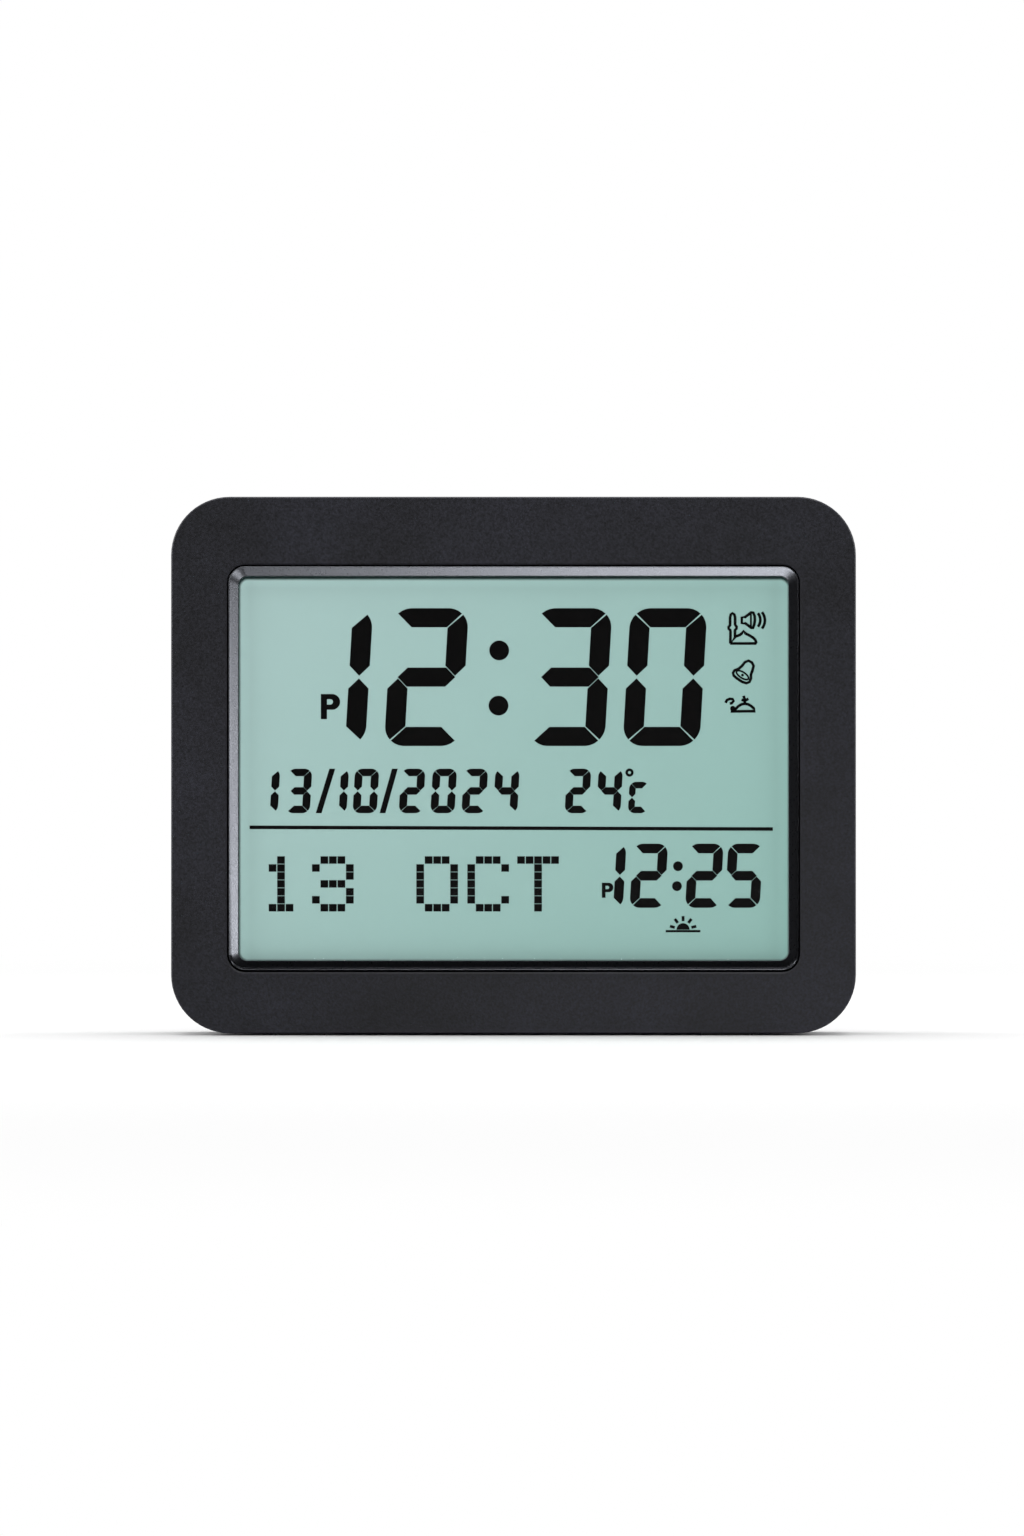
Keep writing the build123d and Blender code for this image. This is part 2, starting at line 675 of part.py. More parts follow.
# Rear cover: moulded shell with the battery bay, the stand's groove, the control panel,
# the speaker grille, keyhole slots and deep screw towers
with BuildPart() as rear_cover:
    with BuildSketch(upright(rear_y, z=body_z)):
        outline(cover_step)
    extrude(amount=rear_y - parting_y)
    fillet(rear_cover.faces().sort_by(Axis.Y)[-1].edges(), rear_edge)
    with BuildSketch(upright(rear_inner_y, z=body_z)):
        outline(cover_step + wall)
    extrude(amount=rear_inner_y - parting_y, mode=Mode.SUBTRACT)

    # Screw towers, board posts and the speaker's ring with its clips
    with BuildSketch(upright(rear_inner_y, z=body_z)):
        with GridLocations(case_span_x, case_span_z, 2, 3):
            peg(boss_radius)
    extrude(amount=rear_inner_y - parting_y)
    with BuildSketch(upright(rear_inner_y, panel_x, board_z)):
        with GridLocations(board_width - 2 * post_inset, board_height - 2 * post_inset, 2, 2):
            peg(post_radius)
    extrude(amount=rear_inner_y - board_rear_y)
    with BuildSketch(upright(rear_inner_y, speaker_x, speaker_z)):
        hoop(clip_ring_radius + speaker_rib)
        hoop(clip_ring_radius, mode=Mode.SUBTRACT)
    extrude(amount=rear_inner_y - clip_front_y)
    with BuildSketch(upright(clip_front_y + speaker_clip_thickness, speaker_x, speaker_z)):
        with PolarLocations(clip_ring_radius, speaker_clip_count, start_angle=90):
            Rectangle(2 * speaker_clip_lap, speaker_clip_width)
    extrude(amount=speaker_clip_thickness)

    # Battery bay, collar under the door, block round the stand's groove, panel plate, pockets
    with BuildSketch(upright(rear_inner_y, z=bay_z)):
        Rectangle(2 * (bay_half + bay_wall), bay_height + 2 * bay_wall)
    extrude(amount=rear_inner_y - bay_floor_y + bay_floor)
    recess_height = door_top - door_bottom + 2 * door_gap
    recess_z = (door_top + door_bottom) / 2
    with BuildSketch(upright(rear_inner_y, z=recess_z)):
        Rectangle(2 * (door_half + door_gap + collar_wall), recess_height + 2 * collar_wall)
    extrude(amount=collar_depth)
    block_bottom = cover_bottom + wall / 2
    block_top = groove_top + groove_wall
    block_half = groove_half_out + groove_wall
    with BuildSketch(upright(rear_inner_y)):
        with Locations((0, block_bottom)):
            Rectangle(2 * block_half, block_top - block_bottom, align=(Align.CENTER, Align.MIN))
        with Locations((0, bar_top + stand_gap + groove_wall)):
            Rectangle(
                2 * (groove_half_in - groove_wall),
                block_top,
                align=(Align.CENTER, Align.MIN),
                mode=Mode.SUBTRACT,
            )
        with Locations((0, pivot_z)):
            with GridLocations(2 * groove_half_out + pivot_boss_wall, 0, 2, 1):
                Rectangle(pivot_boss_wall, pivot_boss_height)
    extrude(amount=rear_inner_y - groove_floor_y + groove_wall)
    with BuildSketch(upright(rear_inner_y, panel_x, panel_z)):
        Rectangle(panel_width + 2 * wall, panel_height + 2 * wall)
    extrude(amount=rear_inner_y - panel_inner_y)
    with BuildSketch(upright(rear_inner_y, z=hanger_z + hanger_slot_rise / 2)):
        with GridLocations(hanger_spacing, 0, 2, 1):
            Rectangle(
                hanger_pocket_width + 2 * hanger_pocket_wall, hanger_pocket_height + 2 * hanger_pocket_wall
            )
    extrude(amount=hanger_pocket_depth + hanger_pocket_wall)

    # Bay interior with cradles for the cells, and the recess that the door closes
    with BuildSketch(upright(rear_y, z=bay_z)):
        Rectangle(2 * bay_half, bay_height)
    extrude(amount=rear_y - bay_floor_y, mode=Mode.SUBTRACT)
    for cradle_x in (-cradle_spread / 2, cradle_spread / 2):
        with BuildSketch(across(cradle_x - cradle_thickness / 2, bay_floor_y, bay_z)):
            Rectangle(cradle_height, bay_height, align=(Align.MIN, Align.CENTER))
            with Locations((cell_y - bay_floor_y, 0)):
                with GridLocations(0, cell_pitch, 1, cell_count):
                    hoop(cell_radius + cell_clearance, mode=Mode.SUBTRACT)
        extrude(amount=cradle_thickness)
    with BuildSketch(upright(rear_y, z=recess_z)):
        Rectangle(2 * (door_half + door_gap), recess_height)
    extrude(amount=rear_y - door_seat_y, mode=Mode.SUBTRACT)
    with BuildSketch(across(-door_half - door_pin_length - pin_end_room, door_axis_y, door_axis_z)):
        Circle(door_pin_radius + pin_fit)
    extrude(amount=2 * (door_half + door_pin_length + pin_end_room), mode=Mode.SUBTRACT)
    with BuildSketch(across(-bay_half - bay_wall, tab_y, upper_cell_z)):
        Rectangle(contact_leaf_width + 2 * tab_fit, tab_opening)
    extrude(amount=bay_wall, mode=Mode.SUBTRACT)
    with BuildSketch(across(bay_half, tab_y, lower_cell_z)):
        Rectangle(contact_leaf_width + 2 * tab_fit, tab_opening)
    extrude(amount=bay_wall, mode=Mode.SUBTRACT)

    # Groove, pivot bores and the notch for a fingernail under the stand's foot
    with BuildSketch(upright(rear_y)) as groove:
        with Locations((0, groove_bottom)):
            Rectangle(2 * groove_half_out, groove_top - groove_bottom, align=(Align.CENTER, Align.MIN))
        fillet(groove.vertices().group_by(Axis.Y)[0], stand_corner + stand_gap)
        with Locations((0, bar_top + stand_gap)):
            Rectangle(
                2 * groove_half_in, groove_top, align=(Align.CENTER, Align.MIN), mode=Mode.SUBTRACT
            )
        with Locations((0, 0)):
            Rectangle(notch_width, groove_bottom, align=(Align.CENTER, Align.MIN))
    extrude(amount=rear_y - groove_floor_y, mode=Mode.SUBTRACT)
    pin_bore_end = arm_half_out + stand_pin_length + pin_end_room
    for bore_start in (-pin_bore_end, groove_half_out):
        with BuildSketch(across(bore_start, pivot_y, pivot_z)):
            Circle(stand_pin_radius + pin_fit)
        extrude(amount=pin_bore_end - groove_half_out, mode=Mode.SUBTRACT)

    # Control panel recess with its openings
    with BuildSketch(upright(rear_y, panel_x, panel_z)):
        RectangleRounded(panel_width, panel_height, panel_corner)
    extrude(amount=panel_recess, mode=Mode.SUBTRACT)
    with BuildSketch(panel_plane):
        with Locations((key_offset, 0)):
            with GridLocations(0, key_spacing, 1, len(key_names)):
                add(keycap(key_gap))
        with Locations((side_offset, slider_rise)):
            Rectangle(slider_neck_width + 2 * slide_gap, slot_height)
        with Locations((side_offset, -reset_drop)):
            Circle(reset_radius + stem_fit)
    extrude(amount=wall, mode=Mode.SUBTRACT)

    # Speaker grille, vents over the temperature sensor and the hole for the power socket
    with BuildSketch(upright(rear_y, speaker_x, speaker_z)):
        for row in range(-grille_rows, grille_rows + 1):
            with Locations((0, row * grille_spacing)):
                Rectangle(2 * math.sqrt(grille_radius**2 - (row * grille_spacing) ** 2), grille_slot)
        with GridLocations(grille_bridge_spread, 0, 2, 1):
            Rectangle(grille_bridge, 2 * grille_radius, mode=Mode.SUBTRACT)
    extrude(amount=wall, mode=Mode.SUBTRACT)
    with BuildSketch(upright(rear_y, panel_x + sensor_offset, board_bottom + sensor_rise)):
        with GridLocations(0, vent_spacing, 1, vent_count):
            Rectangle(vent_length, vent_width)
    extrude(amount=wall, mode=Mode.SUBTRACT)
    with BuildSketch(across(side_inner_x, jack_y, jack_z)):
        Circle(jack_nose_radius + screw_hole_fit)
    extrude(amount=wall, mode=Mode.SUBTRACT)

    # Keyhole slots in front of closed pockets
    with BuildSketch(upright(rear_inner_y, z=hanger_z + hanger_slot_rise / 2)):
        with GridLocations(hanger_spacing, 0, 2, 1):
            Rectangle(hanger_pocket_width, hanger_pocket_height)
    extrude(amount=hanger_pocket_depth, mode=Mode.SUBTRACT)
    with BuildSketch(upright(rear_y, z=hanger_z)):
        with GridLocations(hanger_spacing, 0, 2, 1):
            Circle(hanger_entry_radius)
            Rectangle(hanger_slot_width, hanger_slot_rise, align=(Align.CENTER, Align.MIN))
        with Locations((0, hanger_slot_rise)):
            with GridLocations(hanger_spacing, 0, 2, 1):
                Circle(hanger_slot_width / 2)
    extrude(amount=wall, mode=Mode.SUBTRACT)

    # Counterbored holes through the towers, pilot holes in the posts, pockets for the feet
    case_seat_y = parting_y + case_screw_grip
    with Locations(Plane(origin=(0, rear_y, body_z), x_dir=(-1, 0, 0), z_dir=(0, 1, 0))):
        with GridLocations(case_span_x, case_span_z, 2, 3):
            Hole(radius=case_head_radius + head_fit, depth=rear_y - case_seat_y)
    with BuildSketch(upright(case_seat_y, z=body_z)):
        with GridLocations(case_span_x, case_span_z, 2, 3):
            peg(case_screw_radius + screw_hole_fit)
    extrude(amount=case_screw_grip, mode=Mode.SUBTRACT)
    with BuildSketch(upright(board_rear_y + board_screw_bite + small_tip_room, panel_x, board_z)):
        with GridLocations(board_width - 2 * post_inset, board_height - 2 * post_inset, 2, 2):
            peg(small_screw_radius + pilot_fit)
    extrude(amount=board_screw_bite + small_tip_room, mode=Mode.SUBTRACT)
    rear_foot_y = parting_y + rear_foot_setback
    with BuildSketch(level(0, cover_bottom)):
        with Locations((-foot_x, rear_foot_y), (foot_x, rear_foot_y)):
            Rectangle(foot_length, foot_width)
    extrude(amount=foot_pocket, mode=Mode.SUBTRACT)
save(rear_cover, "rear_cover")

# Battery door: hinged on two stub pins along its lower edge, with a sprung latch at the top
with BuildPart() as battery_door:
    with BuildSketch(upright(rear_y, z=door_axis_z)):
        Rectangle(2 * door_half, door_top - door_axis_z, align=(Align.CENTER, Align.MIN))
    extrude(amount=door_thickness)
    upper_edges = battery_door.edges().filter_by(Axis.Y).group_by(Axis.Z)[-1]
    fillet(upper_edges, door_corner)
    with BuildSketch(across(-door_half, door_axis_y, door_axis_z)):
        Circle(door_radius)
    extrude(amount=2 * door_half)
    with BuildSketch(across(-door_half - door_pin_length, door_axis_y, door_axis_z)):
        Circle(door_pin_radius)
    extrude(amount=2 * (door_half + door_pin_length))
    with BuildSketch(upright(rear_y, z=door_top)):
        with GridLocations(door_latch_width, 0, 2, 1):
            Rectangle(door_slit, 2 * door_latch_length)
    extrude(amount=door_thickness, mode=Mode.SUBTRACT)
    with BuildSketch(upright(rear_y - door_radius / 2, z=door_top)):
        Rectangle(door_latch_width / 2, door_bump, align=(Align.CENTER, Align.MIN))
    extrude(amount=door_radius)
    with BuildSketch(across(-door_latch_width / 4, rear_y, door_top - door_latch_length / 2)):
        with GridLocations(0, grip_spacing, 1, 3):
            Rectangle(grip_groove, grip_groove)
    extrude(amount=door_latch_width / 2, mode=Mode.SUBTRACT)
save(battery_door, "battery_door")

# Cells: three of the same size, each turned end for end from the one below
cells = [("battery_cell_upper", 1, -1), ("battery_cell_middle", 0, 1), ("battery_cell_lower", -1, -1)]
for name, row, nub_side in cells:
    cell_z = bay_z + row * cell_pitch
    body_end = cell_length / 2 - cell_nub_length
    with BuildPart() as battery_cell:
        with BuildSketch(across(-nub_side * cell_length / 2, cell_y, cell_z)):
            Circle(cell_radius)
        extrude(amount=nub_side * (cell_length - cell_nub_length))
        with BuildSketch(across(nub_side * body_end, cell_y, cell_z)):
            peg(cell_nub_radius)
        extrude(amount=nub_side * cell_nub_length)
    save(battery_cell, name)

# Contacts: sheet pressed against the end walls of the bay, with a leaf that bows to each cell
leaf_end = cell_length / 2 + contact_gap
leaf_rise = (contact_height - contact_leaf_width) / 2


def contact(rows, side, with_tab):
    """Contact sheet over some rows of cells on one side, with a solder tab if it is an end one."""
    top_z = bay_z + max(rows) * cell_pitch + contact_height / 2
    bottom_z = bay_z + min(rows) * cell_pitch - contact_height / 2
    with BuildPart() as sheet:
        with BuildSketch(across(side * bay_half, cell_y, (top_z + bottom_z) / 2)):
            Rectangle(contact_width, top_z - bottom_z)
        extrude(amount=-side * contact_sheet)
        for row in rows:
            leaf_z = bay_z + row * cell_pitch
            leaf_plane = Plane(
                origin=(0, cell_y - contact_leaf_width / 2, leaf_z), x_dir=(1, 0, 0), z_dir=(0, -1, 0)
            )
            with BuildSketch(leaf_plane):
                with BuildLine():
                    foot = side * (bay_half - contact_sheet)
                    tip = side * leaf_end
                    inner_tip = side * (leaf_end + contact_sheet)
                    Polyline(
                        (foot, leaf_rise + contact_sheet),
                        (tip, contact_sheet),
                        (tip, -contact_sheet),
                        (foot, -leaf_rise - contact_sheet),
                        (foot, -leaf_rise),
                        (inner_tip, -contact_sheet / 2),
                        (inner_tip, contact_sheet / 2),
                        (foot, leaf_rise),
                        close=True,
                    )
                make_face()
            extrude(amount=-contact_leaf_width)
        if with_tab:
            with BuildSketch(across(side * bay_half, tab_y, bay_z + rows[0] * cell_pitch)):
                Rectangle(contact_leaf_width, tab_height)
            extrude(amount=side * (bay_wall + tab_length))
    return sheet


save(contact([1], -1, True), "terminal_positive")
save(contact([1, 0], 1, False), "battery_link_right")
save(contact([0, -1], -1, False), "battery_link_left")
save(contact([-1], 1, True), "terminal_negative")

# Kickstand: U-shaped prop round the door, turning on stub pins at the tops of its arms
with BuildPart() as kickstand:
    with BuildSketch(upright(stand_back_y)):
        with Locations((0, stand_bottom)):
            Rectangle(2 * arm_half_out, pivot_z - stand_bottom, align=(Align.CENTER, Align.MIN))
        with Locations((0, bar_top)):
            Rectangle(2 * arm_half_in, pivot_z, align=(Align.CENTER, Align.MIN), mode=Mode.SUBTRACT)
    extrude(amount=stand_thickness)
    foot_edges = kickstand.edges().filter_by(Axis.Y).group_by(Axis.Z)[0]
    fillet(foot_edges, stand_corner)
    for arm_side in (-1, 1):
        with BuildSketch(across(arm_side * arm_half_in, pivot_y, pivot_z)):
            Circle(stand_radius)
        extrude(amount=arm_side * stand_arm)
        with BuildSketch(across(arm_side * arm_half_out, pivot_y, pivot_z)):
            Circle(stand_pin_radius)
        extrude(amount=arm_side * stand_pin_length)
    with BuildSketch(level(0, stand_bottom)):
        with Locations((0, pivot_y)):
            Rectangle(pad_length, pad_width)
    extrude(amount=pad_depth, mode=Mode.SUBTRACT)
save(kickstand, "kickstand")

with BuildPart() as kickstand_pad:
    with BuildSketch(level(0, stand_bottom - pad_proud)):
        with Locations((0, pivot_y)):
            Rectangle(pad_length, pad_width)
    extrude(amount=pad_depth + pad_proud)
save(kickstand_pad, "kickstand_pad")

# Keys: a cap that stands proud of the panel, a flange that keeps it in and a stem
for row, name in enumerate(key_names):
    key_z = panel_z + ((len(key_names) - 1) / 2 - row) * key_spacing
    with BuildPart() as key:
        with BuildSketch(upright(panel_face_y + key_proud, key_x, key_z)):
            add(keycap(0))
        extrude(amount=key_proud + panel_face_y - key_flange_y)
        chamfer(key.faces().sort_by(Axis.Y)[-1].edges(), key_edge)
        with BuildSketch(upright(key_flange_y, key_x, key_z)):
            Rectangle(key_width + 2 * key_flange, key_height + 2 * key_flange)
        extrude(amount=key_flange_thickness)
        with BuildSketch(upright(key_back_y, key_x, key_z)):
            Rectangle(key_stem, key_stem)
        extrude(amount=key_back_y - stem_tip_y)
    save(key, name)

# Volume slide: ribbed knob outside the panel, a plate behind it and a stem in the switch
slot_lap = slider_travel + slider_lap
with BuildPart() as volume_slider:
    with BuildSketch(upright(panel_face_y + retainer_gap + slider_knob_proud, side_x, slider_z)):
        Rectangle(slider_knob_width, slider_knob_height)
    extrude(amount=slider_knob_proud)
    chamfer(volume_slider.faces().sort_by(Axis.Y)[-1].edges(), key_edge)
    with BuildSketch(across(side_x - slider_knob_width / 2, panel_face_y + slider_knob_proud, slider_z)):
        with GridLocations(0, slider_knob_height / 4, 1, 3):
            Rectangle(slider_knob_proud / 2, slider_knob_height / 10)
    extrude(amount=slider_knob_width, mode=Mode.SUBTRACT)
    with BuildSketch(upright(panel_face_y + retainer_gap, side_x, slider_z)):
        Rectangle(slider_neck_width, slider_neck_height)
    extrude(amount=panel_face_y + retainer_gap - key_flange_y)
    with BuildSketch(upright(key_flange_y, side_x, slider_z)):
        Rectangle(slider_plate_width, slot_height + 2 * slot_lap)
    extrude(amount=slider_plate_thickness)
    with BuildSketch(upright(key_flange_y - slider_plate_thickness, side_x, slider_z)):
        Rectangle(slider_stem, slider_stem)
    extrude(amount=key_flange_y - slider_plate_thickness - stem_tip_y)
save(volume_slider, "volume_slider")

# Reset button: pin head sunk below the panel, for a pen tip
with BuildPart() as reset_button:
    with BuildSketch(upright(panel_face_y - reset_sink, side_x, reset_z)):
        Circle(reset_radius)
    extrude(amount=panel_face_y - reset_sink - key_flange_y)
    with BuildSketch(upright(key_flange_y, side_x, reset_z)):
        peg(reset_flange_radius)
    extrude(amount=key_flange_thickness)
    with BuildSketch(upright(key_back_y, side_x, reset_z)):
        peg(reset_stem_radius)
    extrude(amount=key_back_y - stem_tip_y)
save(reset_button, "reset_button")

# Main board: behind the panel, with a tab that reaches the power socket in the side wall
jack_x = side_inner_x - jack_wall_gap - jack_length
with BuildPart() as main_board:
    with BuildSketch(upright(board_rear_y, panel_x, board_z)):
        Rectangle(board_width, board_height)
        with Locations((board_width / 2, jack_z - board_z)):
            Rectangle(
                side_inner_x - panel_x - board_width / 2 - jack_tab_end,
                jack_tab_height,
                align=(Align.MIN, Align.CENTER),
            )
        with GridLocations(board_width - 2 * post_inset, board_height - 2 * post_inset, 2, 2):
            peg(small_screw_radius + screw_hole_fit, mode=Mode.SUBTRACT)
    extrude(amount=board_thickness)
save(main_board, "main_board")

with BuildPart() as key_switches:
    with BuildSketch(upright(switch_top_y, key_x, panel_z)):
        with GridLocations(0, key_spacing, 1, len(key_names)):
            Rectangle(switch_size, switch_size)
    extrude(amount=switch_height)
    with BuildSketch(upright(switch_top_y, key_x, panel_z)):
        with GridLocations(0, key_spacing, 1, len(key_names)):
            Rectangle(key_stem + 2 * stem_fit, key_stem + 2 * stem_fit)
    extrude(amount=bore_depth, mode=Mode.SUBTRACT)
save(key_switches, "key_switches")

with BuildPart() as slide_switch_body:
    with BuildSketch(upright(switch_top_y, side_x, slider_z)):
        Rectangle(slide_body_width, slot_height + 2 * slider_travel)
    extrude(amount=switch_height)
    with BuildSketch(upright(switch_top_y, side_x, slider_z)):
        Rectangle(slider_stem + 2 * stem_fit, slider_stem + 2 * (slider_travel + slide_gap))
    extrude(amount=bore_depth, mode=Mode.SUBTRACT)
save(slide_switch_body, "slide_switch_body")

with BuildPart() as reset_switch_body:
    with BuildSketch(upright(switch_top_y, side_x, reset_z)):
        Rectangle(switch_size, switch_size)
    extrude(amount=switch_height)
    with BuildSketch(upright(switch_top_y, side_x, reset_z)):
        peg(reset_stem_radius + stem_fit)
    extrude(amount=bore_depth, mode=Mode.SUBTRACT)
save(reset_switch_body, "reset_switch_body")

# Power socket: barrel jack with a centre pin, its nose in the hole of the side wall
with BuildPart() as dc_socket:
    with BuildSketch(across(jack_x, jack_y, jack_z)):
        Rectangle(jack_height, jack_size)
    extrude(amount=jack_length)
    with BuildSketch(across(jack_x + jack_length, jack_y, jack_z)):
        Circle(jack_nose_radius)
    extrude(amount=jack_nose_length)
    with BuildSketch(across(jack_x + jack_length + jack_nose_length - jack_bore_depth, jack_y, jack_z)):
        Circle(jack_bore_radius)
        peg(jack_pin_radius, mode=Mode.SUBTRACT)
    extrude(amount=jack_bore_depth, mode=Mode.SUBTRACT)
save(dc_socket, "dc_socket")

# Components on the front of the main board
chip_z = panel_z - chip_rise
with BuildPart() as controller_chip:
    with BuildSketch(upright(board_front_y, panel_x, panel_z)):
        Rectangle(chip_size, chip_size)
    extrude(amount=chip_height)
save(controller_chip, "controller_chip")

with BuildPart() as sound_chip:
    with BuildSketch(upright(board_front_y, panel_x, chip_z)):
        Rectangle(sound_chip_width, sound_chip_height)
    extrude(amount=chip_height)
save(sound_chip, "sound_chip")

crystal_x = panel_x - chip_size / 2 - 2 * crystal_radius
crystal_top_z = panel_z + crystal_length / 2
with BuildPart() as crystal:
    with BuildSketch(level(crystal_x, crystal_top_z)):
        with Locations((0, board_front_y - crystal_radius)):
            peg(crystal_radius)
    extrude(amount=-crystal_length)
save(crystal, "crystal")

# Components on its back: smoothing capacitors and the sensor behind the vents
with BuildPart() as capacitors:
    with BuildSketch(upright(board_rear_y + capacitor_height, panel_x, board_bottom + sensor_rise)):
        with GridLocations(capacitor_spacing, 0, 2, 1):
            peg(capacitor_radius)
    extrude(amount=capacitor_height)
save(capacitors, "capacitors")

with BuildPart() as temperature_sensor:
    sensor_x = panel_x + sensor_offset
    sensor_z = board_bottom + sensor_rise
    with BuildSketch(upright(board_rear_y + sensor_leg, sensor_x, sensor_z)):
        with GridLocations(sensor_size / 2, 0, 2, 1):
            peg(sensor_leg_radius)
    extrude(amount=sensor_leg)
    with BuildSketch(upright(board_rear_y + sensor_leg + sensor_size, sensor_x, sensor_z)):
        Rectangle(sensor_size, sensor_size)
    extrude(amount=sensor_size)
save(temperature_sensor, "temperature_sensor")

# Speaker, turned about its own axis: basket, magnet, paper cone and foam ring
speaker_plane = Plane(origin=(speaker_x, 0, speaker_z), x_dir=(1, 0, 0), z_dir=(0, 0, 1))
speaker_axis = Axis((speaker_x, 0, speaker_z), (0, 1, 0))
rim_back_y = rim_front_y + speaker_sheet
rim_inner = speaker_radius - speaker_rim
basket_y = rim_front_y - speaker_basket_depth
basket_slope = speaker_sheet * math.hypot(speaker_basket_depth, rim_inner - speaker_back_radius)
basket_shift = basket_slope / speaker_basket_depth
with BuildPart() as speaker_frame:
    with BuildSketch(speaker_plane):
        with BuildLine():
            Polyline(
                (0, basket_y),
                (speaker_back_radius, basket_y),
                (rim_inner, rim_front_y),
                (speaker_radius, rim_front_y),
                (speaker_radius, rim_back_y),
                (rim_inner - basket_shift, rim_back_y),
                (speaker_back_radius - basket_shift, basket_y + speaker_sheet),
                (0, basket_y + speaker_sheet),
                close=True,
            )
        make_face()
    revolve(axis=speaker_axis)
    tag_y = basket_y + speaker_sheet + tag_width / 2
    with BuildSketch(across(speaker_x + speaker_back_radius, tag_y - tag_width / 2, speaker_z)):
        Rectangle(tag_thickness, tag_width, align=(Align.MAX, Align.CENTER))
    extrude(amount=tag_length)
save(speaker_frame, "speaker_frame")

with BuildPart() as speaker_magnet:
    with BuildSketch(upright(basket_y, speaker_x, speaker_z)):
        Circle(magnet_radius)
    extrude(amount=magnet_thickness)
save(speaker_magnet, "speaker_magnet")

cone_outer = rim_inner
cone_inner = rim_inner - basket_shift - cone_lap
with BuildPart() as speaker_cone:
    with BuildSketch(speaker_plane):
        with BuildLine():
            Polyline(
                (0, rim_back_y - cone_depth + cap_rise),
                (cap_radius, rim_back_y - cone_depth),
                (cone_inner, rim_back_y),
                (cone_outer, rim_back_y),
                (cone_outer, rim_back_y + cone_sheet),
                (cone_inner - cone_sheet, rim_back_y + cone_sheet),
                (cap_radius, rim_back_y - cone_depth + 2 * cone_sheet),
                (0, rim_back_y - cone_depth + cap_rise + cone_sheet),
                close=True,
            )
        make_face()
    revolve(axis=speaker_axis)
save(speaker_cone, "speaker_cone")

with BuildPart() as speaker_gasket:
    with BuildSketch(upright(rear_inner_y, speaker_x, speaker_z)):
        hoop(speaker_radius)
        hoop(speaker_radius - gasket_width, mode=Mode.SUBTRACT)
    extrude(amount=gasket_thickness)
save(speaker_gasket, "speaker_gasket")

# Fasteners: six case screws, and the small screws of both circuit boards
case_screw_length = case_screw_grip + bezel_depth - front_skin - tip_room
with BuildPart() as case_screws:
    with BuildSketch(upright(case_seat_y + case_head_height, z=body_z)):
        with GridLocations(case_span_x, case_span_z, 2, 3):
            peg(case_head_radius)
    extrude(amount=case_head_height)
    with BuildSketch(upright(case_seat_y, z=body_z)):
        with GridLocations(case_span_x, case_span_z, 2, 3):
            peg(case_screw_radius)
    extrude(amount=case_screw_length)
save(case_screws, "case_screws")

with BuildPart() as board_screws:
    with BuildSketch(upright(display_board_back_y + small_head_height, z=window_z)):
        with GridLocations(2 * board_screw_x, 2 * board_screw_rise, 2, 2):
            peg(small_head_radius)
    extrude(amount=small_head_height)
    with BuildSketch(upright(display_board_back_y, z=window_z)):
        with GridLocations(2 * board_screw_x, 2 * board_screw_rise, 2, 2):
            peg(small_screw_radius)
    extrude(amount=board_thickness + board_screw_bite)
    with BuildSketch(upright(board_front_y, panel_x, board_z)):
        with GridLocations(board_width - 2 * post_inset, board_height - 2 * post_inset, 2, 2):
            peg(small_head_radius)
    extrude(amount=small_head_height)
    with BuildSketch(upright(board_rear_y + board_screw_bite, panel_x, board_z)):
        with GridLocations(board_width - 2 * post_inset, board_height - 2 * post_inset, 2, 2):
            peg(small_screw_radius)
    extrude(amount=board_thickness + board_screw_bite)
save(board_screws, "board_screws")

# Rubber feet, pressed into pockets under the bezel and the cover
feet = [("front", front_foot_y, body_bottom), ("rear", rear_foot_y, cover_bottom)]
for place, foot_y, shell_z in feet:
    for hand, side in [("left", -1), ("right", 1)]:
        with BuildPart() as foot:
            with BuildSketch(Plane.XY):
                with Locations((side * foot_x, foot_y)):
                    Rectangle(foot_length - 2 * foot_fit, foot_width - 2 * foot_fit)
            extrude(amount=shell_z + foot_pocket)
        save(foot, f"foot_{place}_{hand}")

# Wiring: two battery leads and the speaker's lead, soldered to the main board
solder_x = panel_x - board_width / 2 + post_inset
lead_low_y = board_front_y - lead_reach
under_bay_y = bay_floor_y - bay_floor - wiring_room / 2
tab_end = bay_half + bay_wall + tab_length
speaker_tag_x = speaker_x + speaker_back_radius + tag_length


def lead(points, name):
    """Insulated wire through the given points, square at each corner."""
    with BuildPart() as wire:
        with BuildLine() as route:
            Polyline(*points)
        with BuildSketch(Plane(origin=route.line @ 0, z_dir=route.line % 0)):
            RegularPolygon(lead_radius, 6)
        sweep(transition=Transition.RIGHT)
    save(wire, name)


lead(
    [
        (-tab_end, tab_y, upper_cell_z),
        (-tab_end - lead_reach, tab_y, upper_cell_z),
        (-tab_end - lead_reach, under_bay_y, upper_cell_z),
        (solder_x, under_bay_y, upper_cell_z),
        (solder_x, board_front_y, upper_cell_z),
    ],
    "battery_lead_positive",
)
negative_z = lower_cell_z + cell_pitch
lead(
    [
        (tab_end, tab_y, lower_cell_z),
        (tab_end + lead_reach, tab_y, lower_cell_z),
        (tab_end + lead_reach, lead_low_y, lower_cell_z),
        (tab_end + lead_reach, lead_low_y, negative_z),
        (solder_x, lead_low_y, negative_z),
        (solder_x, board_front_y, negative_z),
    ],
    "battery_lead_negative",
)
lead(
    [
        (speaker_tag_x, tag_y - tag_width / 2 - tag_thickness / 2, speaker_z),
        (speaker_tag_x + lead_reach, tag_y - tag_width / 2 - tag_thickness / 2, speaker_z),
        (speaker_tag_x + lead_reach, lead_low_y, speaker_z),
        (solder_x, lead_low_y, speaker_z),
        (solder_x, board_front_y, speaker_z),
    ],
    "speaker_lead",
)

